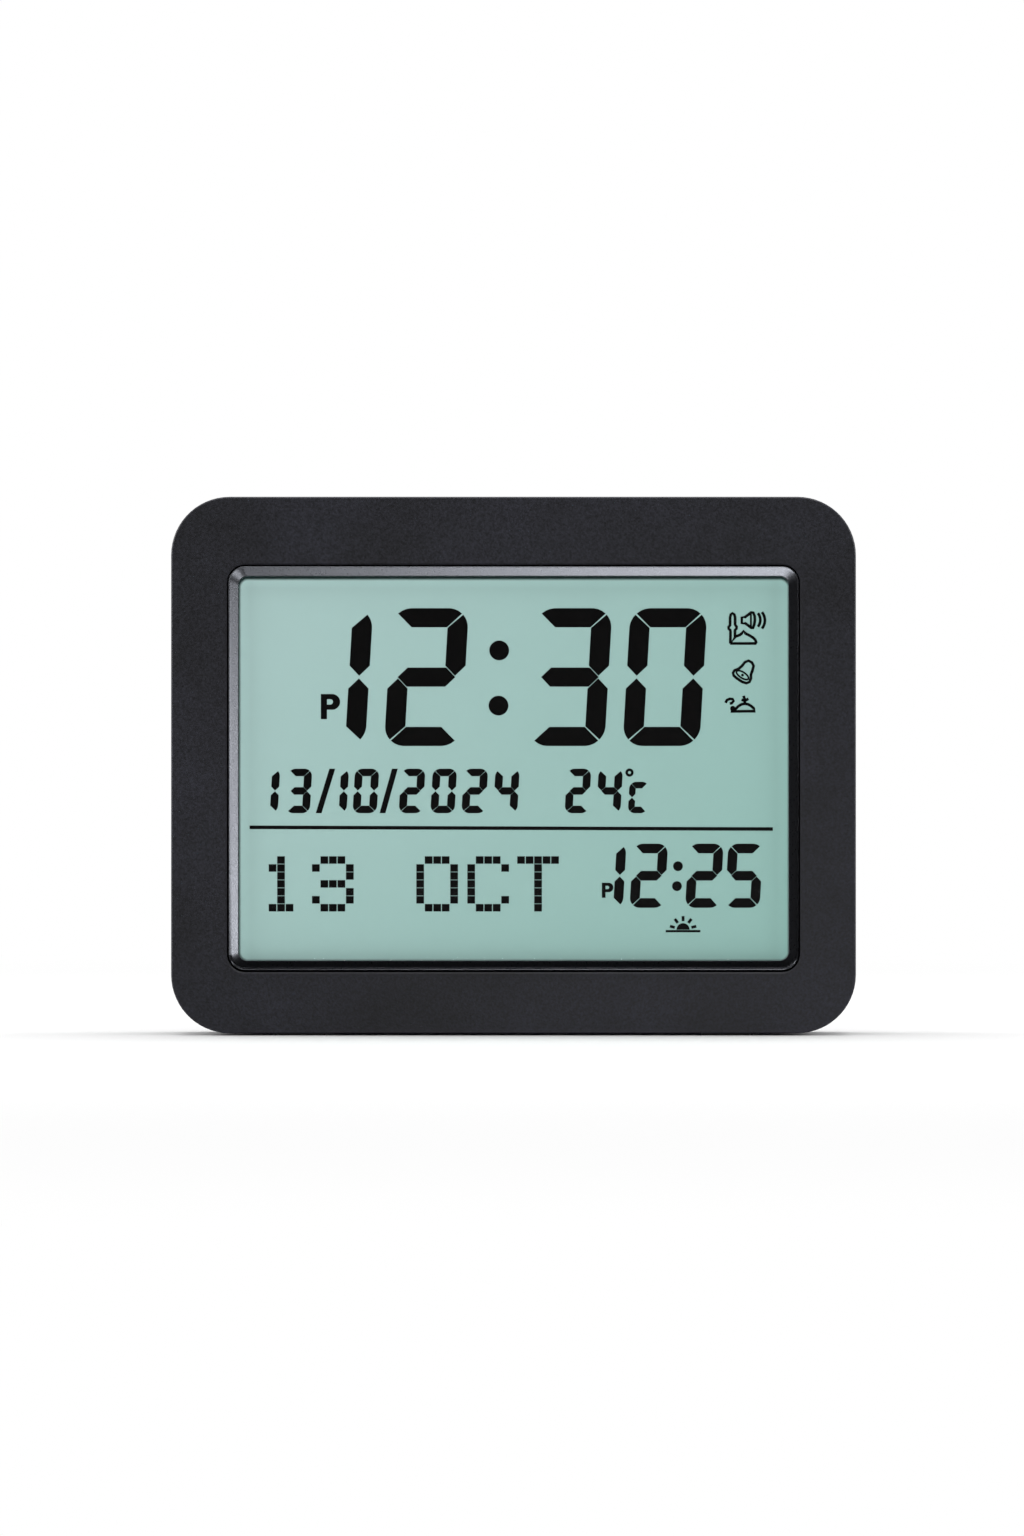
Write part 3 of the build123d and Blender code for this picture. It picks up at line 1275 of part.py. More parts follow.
# Display ribbon: flat cable that doubles back between connectors on the two boards
ribbon_z = panel_z + ribbon_rise
with BuildPart() as ribbon_connectors:
    with BuildSketch(upright(display_board_back_y + connector_thickness, panel_x, ribbon_z)):
        Rectangle(ribbon_width + 2 * connector_lap, connector_height)
    extrude(amount=connector_thickness)
    with BuildSketch(upright(board_front_y, panel_x, ribbon_z)):
        Rectangle(ribbon_width + 2 * connector_lap, connector_height)
    extrude(amount=connector_thickness)
save(ribbon_connectors, "ribbon_connectors")

with BuildPart() as display_ribbon:
    with BuildSketch(across(panel_x - ribbon_width / 2, 0, ribbon_z + connector_height / 2)):
        near = display_board_back_y + connector_thickness / 2
        far = board_front_y - connector_thickness / 2
        bend = (far - near) / 2
        middle = (near + far) / 2
        with BuildLine():
            Line((near, 0), (near, ribbon_reach))
            ThreePointArc((near, ribbon_reach), (middle, ribbon_reach + bend), (far, ribbon_reach))
            Line((far, ribbon_reach), (far, 0))
            Line((far, 0), (far - ribbon_thickness, 0))
            Line((far - ribbon_thickness, 0), (far - ribbon_thickness, ribbon_reach))
            ThreePointArc(
                (far - ribbon_thickness, ribbon_reach),
                (middle, ribbon_reach + bend - ribbon_thickness),
                (near + ribbon_thickness, ribbon_reach),
            )
            Line((near + ribbon_thickness, ribbon_reach), (near + ribbon_thickness, 0))
            Line((near + ribbon_thickness, 0), (near, 0))
        make_face()
    extrude(amount=ribbon_width)
save(display_ribbon, "display_ribbon")
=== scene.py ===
import math

import bmesh
import bpy
import numpy as np
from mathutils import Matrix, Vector


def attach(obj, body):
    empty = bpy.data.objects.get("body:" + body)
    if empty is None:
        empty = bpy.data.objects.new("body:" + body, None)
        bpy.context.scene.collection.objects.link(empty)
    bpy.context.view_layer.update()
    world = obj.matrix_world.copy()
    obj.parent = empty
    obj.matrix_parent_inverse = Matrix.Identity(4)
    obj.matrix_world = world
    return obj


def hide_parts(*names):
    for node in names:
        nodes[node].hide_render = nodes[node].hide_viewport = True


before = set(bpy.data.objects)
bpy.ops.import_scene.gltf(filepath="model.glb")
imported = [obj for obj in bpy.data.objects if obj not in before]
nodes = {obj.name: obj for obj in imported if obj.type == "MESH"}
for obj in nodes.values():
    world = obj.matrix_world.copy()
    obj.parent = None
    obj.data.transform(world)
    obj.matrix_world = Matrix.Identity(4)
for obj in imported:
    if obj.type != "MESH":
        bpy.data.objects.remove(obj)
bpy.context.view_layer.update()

# Case: bezel, rear cover and battery door, injection moulded in charcoal ABS. The mould
# is spark-eroded, which leaves a fine even grain on every outer face, and the melt's flow
# leaves faint clouds in it.
CASE_COLOUR = (0.0112, 0.0118, 0.0218)
CASE_GRAIN = 0.0008
CASE_RELIEF = 0.00007
CASE_MOTTLE = 1.0
CASE_CLOUD, CASE_CLOUD_REACH = 0.035, 0.3
CASE_ROUGHNESS, CASE_SHINE = 0.50, 0.38
NOISE_SPAN = (0.3, 0.7)


def new_material(name):
    """Material with nodes, its node tree and the shader that it starts with."""
    material = bpy.data.materials.new(name)
    material.use_nodes = True
    return material, material.node_tree, material.node_tree.nodes["Principled BSDF"]


def feed(tree, node, inputs):
    """Links each socket of a node to another node's output, or gives it a fixed value."""
    for socket, value in inputs.items():
        if isinstance(value, bpy.types.NodeSocket):
            tree.links.new(value, node.inputs[socket])
        else:
            node.inputs[socket].default_value = value


def add_node(tree, kind, inputs=None):
    """Shader node of a kind, with its sockets fed."""
    node = tree.nodes.new("ShaderNode" + kind)
    feed(tree, node, inputs or {})
    return node


def ramp_of(tree, value, low, high, shape="SMOOTHSTEP", ends=(0, 1)):
    """Map Range node that takes low and high to the two ends."""
    spans = {"From Min": low, "From Max": high, "To Min": ends[0], "To Max": ends[1]}
    node = add_node(tree, "MapRange", {"Value": value, **spans})
    node.interpolation_type = shape
    return node.outputs["Result"]


def blend_of(tree, factor, first, second, kind="MIX"):
    """Colour mix of two colours or outputs by a factor."""
    node = add_node(tree, "Mix")
    node.data_type = "RGBA"
    node.blend_type = kind
    sides = [(*side, 1) if isinstance(side, tuple) else side for side in (first, second)]
    feed(tree, node, {"Factor": factor, "A": sides[0], "B": sides[1]})
    return node.outputs["Result"]


def stock(
    name, colour, roughness, grain, relief, mottle=0.12, metallic=0.0, stretch=(1, 1, 1), shine=0.5
):
    """Material of one stock: a noise of the given grain, in metres, lifts the surface by relief
    and shifts its colour by mottle and its roughness by a tenth, all three together. A stretch
    draws the noise out along an axis, and shine is the strength of the surface's reflection."""
    material, tree, shader = new_material(name)
    place = add_node(tree, "TexCoord")
    pull = add_node(tree, "Mapping", {"Vector": place.outputs["Object"], "Scale": stretch})
    noise = add_node(tree, "TexNoise", {
        "Vector": pull.outputs["Vector"], "Scale": 1 / grain, "Detail": 2,
    })
    height = noise.outputs["Fac"]
    dark = tuple(part * (1 - mottle) for part in colour)
    pale = tuple(part * (1 + mottle) for part in colour)
    bump = add_node(tree, "Bump", {"Height": height, "Distance": relief})
    feed(tree, shader, {
        "Metallic": metallic,
        "Specular IOR Level": shine,
        "Base Color": blend_of(tree, height, dark, pale),
        "Roughness": ramp_of(tree, height, *NOISE_SPAN, "LINEAR", (roughness * 0.9, roughness * 1.1)),
        "Normal": bump.outputs["Normal"],
    })
    return material


def dress(material, *names):
    """Puts a material in every slot of the named solids."""
    for name in names:
        for place in nodes[name].material_slots:
            place.material = material


def opened(material):
    """A stock's tree, its shader, its place output and the colour that its shader takes so far."""
    tree = material.node_tree
    shader = tree.nodes["Principled BSDF"]
    place = next(node for node in tree.nodes if node.type == "TEX_COORD").outputs["Object"]
    return tree, shader, place, shader.inputs["Base Color"].links[0].from_socket


def clouded(material, size, reach):
    """Multiplies a stock's colour by a second, broader noise, up and down by reach."""
    tree, shader, place, colour = opened(material)
    cloud = add_node(tree, "TexNoise", {"Vector": place, "Scale": 1 / size})
    shade = ramp_of(tree, cloud.outputs["Fac"], 0, 1, "LINEAR", (1 - 2 * reach, 1 + 2 * reach))
    feed(tree, shader, {"Base Color": blend_of(tree, 1, colour, shade, "MULTIPLY")})
    return material


case_stock = stock(
    "charcoal_abs", CASE_COLOUR, CASE_ROUGHNESS, CASE_GRAIN, CASE_RELIEF, CASE_MOTTLE, shine=CASE_SHINE
)
case_abs = clouded(case_stock, CASE_CLOUD, CASE_CLOUD_REACH)
dress(case_abs, "front_bezel", "rear_cover", "battery_door")

# Trim ring: separate moulding with a dark metallised bevel that rises from the bezel to
# the window. Its flange is clamped behind the bezel. Below the window the bevel is
# narrower, and a groove parts it from a lip that catches the light.
RING_WINDOW = (0.1926, 0.1346)
RING_CORNER = 0.0022
RING_CENTRE_Z = 0.0936
RING_STEPS = 24
# The ring's profiles run from the window's edge outwards, as (distance out, depth).
RING_FACE_MM = [
    (0.00, -16.20), (0.00, -17.43), (0.015, -17.475), (0.05, -17.497), (0.10, -17.495), (0.30, -17.415),
    (1.20, -17.05), (2.20, -16.65), (2.60, -16.49), (2.90, -16.37), (3.10, -16.29), (3.32, -16.19),
    (3.44, -16.10), (3.52, -15.98), (3.55, -15.80), (3.55, -14.60),
]
RING_LOW_FACE_MM = [
    (0.00, -16.20), (0.00, -17.43), (0.015, -17.475), (0.05, -17.497), (0.10, -17.495), (0.30, -17.415),
    (1.10, -17.08), (2.05, -16.70), (2.24, -16.55), (2.30, -15.60), (2.58, -15.60), (2.85, -15.72),
    (3.15, -15.86), (3.32, -15.92), (3.42, -15.80), (3.42, -14.60),
]
INNER_ROUND = 0.0032
INNER_SPREAD = 0.62
RING_FLANGE_MM = [
    (3.70, -14.60), (3.70, -13.50), (6.70, -13.50), (6.70, -12.30), (1.00, -12.30), (1.00, -16.20),
]


def grid_quads(index):
    """Faces of a grid of point numbers: the four numbers round each of its cells."""
    corners = [index[:-1, :-1], index[1:, :-1], index[1:, 1:], index[:-1, 1:]]
    return np.stack(corners, axis=-1).reshape(-1, 4)


def sheet_of(name, points, material, body="case", loop_u=False, loop_v=False, smooth=True):
    """Mesh over a grid of points, with a quad between each four neighbours. A looped
    direction joins its last row to its first."""
    rows, columns = points.shape[:2]
    index = np.arange(rows * columns).reshape(rows, columns)
    if loop_u:
        index = np.vstack([index, index[:1]])
    if loop_v:
        index = np.hstack([index, index[:, :1]])
    return body_of_faces(name, points.reshape(-1, 3), grid_quads(index), material, body, smooth)


def body_of_faces(name, points, faces, material, body, smooth=True):
    """Mesh piece of one material, riding on a body."""
    mesh = bpy.data.meshes.new(name)
    mesh.from_pydata(np.asarray(points).tolist(), [], np.asarray(faces).tolist())
    mesh.update()
    mesh.materials.append(material)
    mesh.polygons.foreach_set("use_smooth", [smooth] * len(mesh.polygons))
    piece = bpy.data.objects.new(name, mesh)
    bpy.context.scene.collection.objects.link(piece)
    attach(piece, body)
    return piece


def carried_round(profile, low_profile, width, height, corner, centre_z, steps):
    """A profile of (distance out, depth) carried round a rounded rectangle: each point keeps
    its distance out along the sides, and its corner's radius is the greater of the corner plus
    that distance and a rounder inner edge that spreads more slowly. Round the lower corners
    the profile turns into the low one, by the sine of the angle."""
    turn = np.linspace(0, math.pi / 2, steps)
    quarter = np.arange(4)[:, None] * math.pi / 2
    angle = (quarter + turn).ravel()
    side_x = np.repeat([1, -1, -1, 1], steps)
    side_z = np.repeat([1, 1, -1, -1], steps)
    low = np.maximum(-np.sin(angle), 0)[None, :, None]
    shape = np.asarray(profile)[:, None] * (1 - low) + np.asarray(low_profile)[:, None] * low
    out = shape[..., 0]
    radius = np.maximum(corner + out, INNER_ROUND + INNER_SPREAD * out)
    x = side_x * (width / 2 + out - radius) + radius * np.cos(angle)
    z = centre_z + side_z * (height / 2 + out - radius) + radius * np.sin(angle)
    return np.stack([x, shape[..., 1], z], axis=-1)


ring_finish = stock("metallised_bevel", (0.105, 0.109, 0.121), 0.30, 0.0005, 0.000012, metallic=1.0)
ring_profile = np.array(RING_FACE_MM + RING_FLANGE_MM) / 1000
ring_low_profile = np.array(RING_LOW_FACE_MM + RING_FLANGE_MM) / 1000
ring = sheet_of(
    "window_trim_ring",
    carried_round(ring_profile, ring_low_profile, *RING_WINDOW, RING_CORNER, RING_CENTRE_Z, RING_STEPS),
    ring_finish, loop_u=True, loop_v=True,
)
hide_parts("window_trim")

# Display window: polished clear acrylic pane, dropped into the ring from behind. It
# reflects on the way in only, so that light leaves it as it would leave thin glass.
PANE_INDEX = 1.49
PANE_ROUGHNESS = 0.03


def step_of(tree, kind, first, second=0):
    """Math node of a kind, fed by a number or by another node's output on each side."""
    node = add_node(tree, "Math", {0: first, 1: second})
    node.operation = kind
    return node.outputs["Value"]


pane, pane_tree, pane_base = new_material("clear_pane")
pane_tree.nodes.remove(pane_base)
pane_clear = add_node(pane_tree, "BsdfTransparent").outputs["BSDF"]
pane_shine = add_node(pane_tree, "BsdfGlossy", {"Roughness": PANE_ROUGHNESS}).outputs["BSDF"]
pane_edge = add_node(pane_tree, "Fresnel", {"IOR": PANE_INDEX}).outputs["Fac"]
pane_back = add_node(pane_tree, "NewGeometry").outputs["Backfacing"]
pane_share = step_of(pane_tree, "MULTIPLY", pane_edge, step_of(pane_tree, "SUBTRACT", 1, pane_back))
pane_mix = add_node(pane_tree, "MixShader", {0: pane_share, 1: pane_clear, 2: pane_shine})
feed(pane_tree, pane_tree.nodes["Material Output"], {"Surface": pane_mix.outputs["Shader"]})
dress(pane, "display_window")

# Display cell: film, two glasses and a mint reflector seen through the window. Its tint is
# painted darker towards the right and the bottom as painted shade, a thin painted shadow of the
# ring's lip frames the lit area, and painted light makes it a little brighter along its top and
# sides, where the ring's shade falls. It also glows evenly, as from its backlight, which lightens
# that shade as well.
# Painted shade: the tint goes from the lit tint to the shaded one towards the right and the bottom.
LCD_LIT_TINT = (0.362, 0.515, 0.497)
LCD_SHADED_TINT = (0.240, 0.430, 0.387)
LCD_SHADE_ACROSS, LCD_SHADE_DOWN, LCD_SHADE_SPAN = 0.9, -0.45, (-1.5, 1.6)
# Painted shadow of the ring's lip along the film's edge, shifted so that it is widest at the top.
LCD_LIP_SHADE = (0.008, 0.020, 0.019)
LCD_LIP_SHADE_SHIFT = (-0.0002, 0, 0.0005)
LCD_LIP_SHADE_INSET = (-0.0002, 0, 0.0002)
LCD_LIP_SHADE_START, LCD_LIP_SHADE_END = -0.0009, 0.0002
# Glow: an even glow, as from the backlight, which also softens the ring's shade, and painted light along
# the top and sides that lifts the shade of the ring's lip.
LCD_GLOW, LCD_PAINTED_EDGE_LIGHT = 0.35, 0.25
LCD_SIDE_START, LCD_TOP_START, LCD_SIDE_SHARE = 0.948, 0.925, 0.95
LCD_GRAIN_SCALE, LCD_ROUGHNESS, LCD_SHINE = 900, (0.42, 0.58), 0.2
lcd, lcd_tree, lcd_shader = new_material("mint_display")
lcd_place = add_node(lcd_tree, "TexCoord").outputs["Object"]
lcd_frame = add_node(lcd_tree, "Mapping", {
    "Vector": lcd_place,
    "Location": (0, 0, -RING_CENTRE_Z / (RING_WINDOW[1] / 2)),
    "Scale": (2 / RING_WINDOW[0], 1, 2 / RING_WINDOW[1]),
})
lcd_x, _, lcd_z = add_node(lcd_tree, "SeparateXYZ", {"Vector": lcd_frame.outputs["Vector"]}).outputs
lcd_across = step_of(lcd_tree, "MULTIPLY", lcd_x, LCD_SHADE_ACROSS)
lcd_down = step_of(lcd_tree, "MULTIPLY", lcd_z, LCD_SHADE_DOWN)
lcd_painted_shade = ramp_of(lcd_tree, step_of(lcd_tree, "ADD", lcd_across, lcd_down), *LCD_SHADE_SPAN, "LINEAR")
lcd_shaded_tint = blend_of(lcd_tree, lcd_painted_shade, LCD_LIT_TINT, LCD_SHADED_TINT)

# Painted shadow of the ring's lip: how far a point lies out from the nearest corner's centre
# is a length, so the painted shadow follows the ring's rounded inner edge. It is widest along
# the top, where the light comes from above.
lcd_corner_centre = (RING_WINDOW[0] / 2 - INNER_ROUND, 0, RING_WINDOW[1] / 2 - INNER_ROUND)
lcd_reach = lcd_place
for kind, amount in (
    ("SUBTRACT", (0, 0, RING_CENTRE_Z)), ("ADD", LCD_LIP_SHADE_SHIFT), ("MULTIPLY", (1, 0, 1)),
    ("ABSOLUTE", (0, 0, 0)), ("SUBTRACT", lcd_corner_centre), ("ADD", LCD_LIP_SHADE_INSET),
    ("MAXIMUM", (0, 0, 0)),
):
    vector_step = add_node(lcd_tree, "VectorMath", {0: lcd_reach, 1: amount})
    vector_step.operation = kind
    lcd_reach = vector_step.outputs["Vector"]
lcd_length = add_node(lcd_tree, "VectorMath", {0: lcd_reach})
lcd_length.operation = "LENGTH"
# Painted shadow of the ring's lip, mixed over the tint.
lcd_lip_shade = ramp_of(
    lcd_tree, lcd_length.outputs["Value"], INNER_ROUND + LCD_LIP_SHADE_START, INNER_ROUND + LCD_LIP_SHADE_END
)
lcd_colour = blend_of(lcd_tree, lcd_lip_shade, lcd_shaded_tint, LCD_LIP_SHADE)
# Painted light along the film's top and sides, lifting the shade that the ring casts there.
lcd_side_light = ramp_of(lcd_tree, step_of(lcd_tree, "ABSOLUTE", lcd_x), LCD_SIDE_START, 1)
lcd_top_light = ramp_of(lcd_tree, lcd_z, LCD_TOP_START, 1)
lcd_painted_edge_light = step_of(lcd_tree, "ADD", step_of(lcd_tree, "MULTIPLY", lcd_side_light, LCD_SIDE_SHARE), lcd_top_light)
lcd_grain = add_node(lcd_tree, "TexNoise", {"Vector": lcd_place, "Scale": LCD_GRAIN_SCALE})
# The film glows evenly, as from its backlight, and this glow also serves as painted fill light that
# lightens the ring's shade on it.
feed(lcd_tree, lcd_shader, {
    "Base Color": lcd_colour,
    "Roughness": ramp_of(lcd_tree, lcd_grain.outputs["Fac"], 0, 1, "LINEAR", LCD_ROUGHNESS),
    "Specular IOR Level": LCD_SHINE,
    "Emission Color": lcd_colour,
    "Emission Strength": step_of(
        lcd_tree, "ADD", step_of(lcd_tree, "MULTIPLY", lcd_painted_edge_light, LCD_PAINTED_EDGE_LIGHT), LCD_GLOW
    ),
})
dress(lcd, "lcd_polarizer")

# Read-out: dark liquid crystal segments, drawn in millimetres from the centre of the
# window. Each is a thin slab in front of the film. Digits lean over by 3.3 degrees.
SEGMENT_Y = -0.01252
SEGMENT_DEPTH = 0.00004
LEAN = 0.058
CORNER_SHARE = 1.05
MITRE_SHARE = 1 - math.sqrt(0.5)
BAR_STEPS, BAR_ROWS = 17, 5
SIDE_GAPS, MIDDLE_GAPS = 2.3, 0.9
SEGMENTS = {
    "0": "abcdef", "1": "bc", "2": "abged", "3": "abgcd", "4": "fgbc", "5": "afgcd", "C": "adef",
}
segment_ink = stock(
    "segment_ink", (0.0018, 0.0013, 0.0012), 0.45, 0.0006, 0.000004, mottle=0.2, shine=0.1
)


def corner_drop(distance, radius):
    """How far a rounded corner's edge lies in from the square one, at a distance from its end."""
    short = np.clip(radius - distance, 0, radius)
    return radius - np.sqrt(radius**2 - short**2)


def digit_bars(letter, left, base, size, bar, gap):
    """Seven-segment bars as grids: along runs the bar, across goes from its outer edge to its
    inner one. Bars meet on each corner's diagonal less a hairline gap, the digit's own corners
    are rounded, and the bars' ends at half height are points. The upright bars' points stop
    SIDE_GAPS gaps from half height, and the middle bar's points lie MIDDLE_GAPS gaps further
    out than the middle of the upright bars."""
    width, height = size
    wide, tall = bar
    along = np.linspace(0, 1, BAR_STEPS)[:, None]
    across = np.linspace(0, 1, BAR_ROWS)[None, :]
    radius = CORNER_SHARE * tall
    tip = MITRE_SHARE * radius + gap
    half = height / 2
    outer_x = tip + along * (width - 2 * tip)
    outer_z = height - corner_drop(outer_x, radius) - corner_drop(width - outer_x, radius)
    inner_x = gap + wide + along * (width - 2 * (gap + wide))
    top_x = outer_x + (inner_x - outer_x) * across
    top_z = outer_z + (height - tall - outer_z) * across
    low = half + SIDE_GAPS * gap + np.abs(across - 0.5) * wide
    high = height - tip + (tip - gap - tall) * across
    side_z = low + along * (high - low)
    edge_x = corner_drop(height - side_z[:, :1], radius)
    side_x = edge_x + (wide - edge_x) * across
    mid_z = half + tall * (0.5 - across) + 0 * along
    end = wide / 2 - MIDDLE_GAPS * gap + np.abs(mid_z - half)
    mid_x = end + along * (width - 2 * end)
    flip_x, flip_z = width - side_x, height - side_z
    shapes = {
        "a": (top_x, top_z), "d": (top_x, height - top_z), "g": (mid_x, mid_z), "f": (side_x, side_z),
        "b": (flip_x, side_z), "e": (side_x, flip_z), "c": (flip_x, flip_z),
    }
    chosen = [shapes[bar_name] for bar_name in SEGMENTS[letter]]
    return [np.stack([left + x + LEAN * z, base + z], axis=-1) for x, z in chosen]


def number_row(text, lefts, base, size, bar, gap):
    """Bars of a row of digits, each starting at its own left edge."""
    return [
        grid for letter, left in zip(text, lefts) for grid in digit_bars(letter, left, base, size, bar, gap)
    ]


def box_grid(left, base, width, height, slant=0.0):
    """Four-sided patch with level ends, its top moved sideways by the slant."""
    low = [(left, base), (left + width, base)]
    high = [(left + slant, base + height), (left + slant + width, base + height)]
    return np.array([low, high])


def disc_grid(centre_x, centre_z, radius, low=-1.0, steps=17):
    """Disc, or its part above a level: a square grid squeezed so that its edges lie on the
    circle."""
    u, v = np.meshgrid(np.linspace(-1, 1, steps), np.linspace(low, 1, steps), indexing="ij")
    x = u * np.sqrt(1 - v**2 / 2)
    z = v * np.sqrt(1 - u**2 / 2)
    return np.stack([centre_x + radius * x, centre_z + radius * z], axis=-1)


def arc_points(centre_x, centre_z, radius, start, end, steps=25, flat=1.0):
    """Points on an arc between two angles in degrees, flattened in height by a share."""
    angle = np.radians(np.linspace(start, end, steps))
    return np.stack([centre_x + radius * np.cos(angle), centre_z + flat * radius * np.sin(angle)], axis=-1)


def line_grid(points, widths):
    """Strip along a line of points, with a full width at each of them, square to the line."""
    route = np.asarray(points, float)
    run = np.gradient(route, axis=0)
    if np.allclose(route[0], route[-1]):
        run[0] = run[-1] = run[0] + run[-1]
    normal = np.stack([-run[:, 1], run[:, 0]], axis=-1) / np.linalg.norm(run, axis=1, keepdims=True)
    reach = normal * (np.asarray(widths, float) * np.ones(len(route)))[:, None] / 2
    return np.stack([route + reach, route - reach], axis=1)


LETTER_P = (6.75, 8.8, 2.15, 5.5, 2.1, 1.9)


def bold_p(left, base, scale):
    """Bold capital letter: an upright stem, and a bowl between two rounded lines. Its sizes are
    the width, height and stem, the bowl's height, and the hole's width and height."""
    width, height, stem, bowl, hole_width, hole_height = (size * scale for size in LETTER_P)
    middle = base + height - bowl / 2

    def bowl_line(reach, rise):
        start, end = [(left + stem, middle + rise / 2)], [(left + stem, middle - rise / 2)]
        return np.vstack([start, arc_points(left + reach - rise / 2, middle, rise / 2, 90, -90), end])

    outer, inner = bowl_line(width, bowl), bowl_line(stem + hole_width, hole_height)
    return [box_grid(left, base, stem, height), np.stack([outer, inner], axis=1)]


def printed(name, grids, y, depth, material, body="case", centre=(0, RING_CENTRE_Z), facing=1):
    """Slabs over flat grids in millimetres, laid at depth y and thickened away from the solid.
    facing is 1 for marks on the front and -1 for marks on the back, which are drawn as they
    read from behind, with x to the reader's right."""
    points, faces, count = [], [], 0
    for grid in grids:
        rows, columns = grid.shape[:2]
        index = np.arange(rows * columns).reshape(rows, columns) + count
        quads = grid_quads(index)
        flat = grid.reshape(-1, 2) * (facing, 1) / 1000
        around = flat[quads - count]
        ahead = np.roll(around, -1, axis=1)
        area = np.sum(around[..., 0] * ahead[..., 1] - ahead[..., 0] * around[..., 1])
        if area * facing < 0:
            quads = quads[:, ::-1]
        x, z = (flat + centre).T
        points.append(np.stack([x, np.full(len(flat), y), z], axis=-1))
        faces.append(quads)
        count += rows * columns
    piece = body_of_faces(name, np.vstack(points), np.vstack(faces), material, body, smooth=False)
    thick = piece.modifiers.new("thickness", "SOLIDIFY")
    thick.thickness = depth
    thick.offset = 1
    return piece


def segments(name, grids):
    """Printed piece of the display's own pattern."""
    return printed(name, grids, SEGMENT_Y, SEGMENT_DEPTH, segment_ink)


TIME_LEFTS = (-79.05, -45.45, 4.9, 38.25)
TIME_BASE, TIME_SIZE, TIME_BAR, TIME_GAP = 7.87, (27.0, 48.35), (7.1, 6.7), 0.2
TIME_COLON, TIME_DOT = ((-5.02, 41.41), (-5.26, 22.04)), 3.47
TIME_P, TIME_P_SCALE = (-67.6, 17.3), 1.0
segments(
    "readout_time",
    number_row("1230", TIME_LEFTS, TIME_BASE, TIME_SIZE, TIME_BAR, TIME_GAP)
    + [disc_grid(*centre, TIME_DOT) for centre in TIME_COLON]
    + bold_p(*TIME_P, TIME_P_SCALE),
)

# Date and temperature: a row of small digits with slanted strokes between them, drawn in
# the same liquid crystal and parted from the day below by a thin line.
DATE_LEFTS = (-91.25, -80.0, -67.1, -56.5, -40.3, -29.2, -18.3, -7.2)
DATE_BASE, DATE_SIZE, DATE_BAR, DATE_GAP = -15.7, (8.5, 15.6), (2.78, 2.62), 0.055
SLASHES, SLASH_WIDTH = ((-69.4, 4.8), (-47.0, 4.35)), 2.05
DEGREES_LEFTS = (17.9, 29.0)
CELSIUS_LEFT, CELSIUS_SIZE, CELSIUS_BAR, CELSIUS_GAP = 40.1, (6.8, 11.0), (2.3, 2.3), 0.03
RING_SIGN, RING_SIGN_RADIUS, RING_SIGN_LINE = (40.7, -1.45), 0.98, 0.95
DIVIDER, DIVIDER_WIDTH = [(-92.6, -20.66), (91.0, -21.26)], 1.25
segments(
    "readout_date",
    number_row("13102024", DATE_LEFTS, DATE_BASE, DATE_SIZE, DATE_BAR, DATE_GAP)
    + [box_grid(left, DATE_BASE, SLASH_WIDTH, DATE_SIZE[1], slant) for left, slant in SLASHES]
    + number_row("24", DEGREES_LEFTS, DATE_BASE, DATE_SIZE, DATE_BAR, DATE_GAP)
    + digit_bars("C", CELSIUS_LEFT, DATE_BASE, CELSIUS_SIZE, CELSIUS_BAR, CELSIUS_GAP)
    + [line_grid(arc_points(*RING_SIGN, RING_SIGN_RADIUS, 0, 360), RING_SIGN_LINE)],
)
segments("readout_divider", [line_grid(DIVIDER, DIVIDER_WIDTH)])

# Day and month: a dot matrix of five columns by seven rows a letter, etched in the same
# cell. Each dot is a square, a hairline away from the next.
DOT, DOT_PITCH = (2.70, 2.62), (2.98, 2.79)
MATRIX_TOP = -33.45
MATRIX_LEFTS = (("1", -85.9), ("3", -70.7), ("O", -34.1), ("C", -16.2), ("T", 1.3))
LETTERS = {
    "1": ("010", "110", "010", "010", "010", "010", "111"),
    "3": ("01110", "10001", "00001", "01110", "00001", "10001", "01110"),
    "O": ("01110", "10001", "10001", "10001", "10001", "10001", "01110"),
    "C": ("01110", "10001", "10000", "10000", "10000", "10001", "01110"),
    "T": ("11111", "00100", "00100", "00100", "00100", "00100", "00100"),
}
matrix = [
    box_grid(left + column * DOT_PITCH[0], MATRIX_TOP - row * DOT_PITCH[1], *DOT)
    for letter, left in MATRIX_LEFTS
    for row, cells in enumerate(LETTERS[letter])
    for column, lit in enumerate(cells) if lit == "1"
]
segments("readout_matrix", matrix)

# Time of the next call: the same digits about half as large, at the lower right, beside
# the sun that stands for the call.
NEXT_LEFTS = (26.1, 40.7, 60.2, 74.1)
NEXT_BASE, NEXT_SIZE, NEXT_BAR, NEXT_GAP = -48.9, (12.25, 22.5), (3.42, 3.38), 0.12
NEXT_COLON, NEXT_DOT = ((57.7, -34.3), (57.35, -41.3)), 1.72
NEXT_P, NEXT_P_SCALE = (31.0, -45.4), 0.6
segments(
    "readout_next",
    number_row("1225", NEXT_LEFTS, NEXT_BASE, NEXT_SIZE, NEXT_BAR, NEXT_GAP)
    + [disc_grid(*centre, NEXT_DOT) for centre in NEXT_COLON]
    + bold_p(*NEXT_P, NEXT_P_SCALE),
)

# Pictograms in thin lines: a tower and dome with a loudspeaker, a bell, a low dome with
# its finial, and a rising sun beside the small time. They belong to the display's pattern.
STROKE = 1.0
HORN_PLATE = (82.95, 49.7, 0.7, 4.6)
MOUTH_CENTRE, MOUTH_RADIUS, MOUTH_LINE = (80.35, 32.75), 2.45, 0.65
MOUTH_FLAT, MOUTH_TURN = 0.42, -33
CLAPPER_RADIUS = 0.5
LANTERN, LANTERN_RADIUS = (76.95, 21.0), 0.95
SUN, SUN_RADIUS, SUN_RAY = (59.5, -56.6), 2.3, (3.0, 4.8)
HORIZON = (53.4, -57.5, 12.2, 0.8)


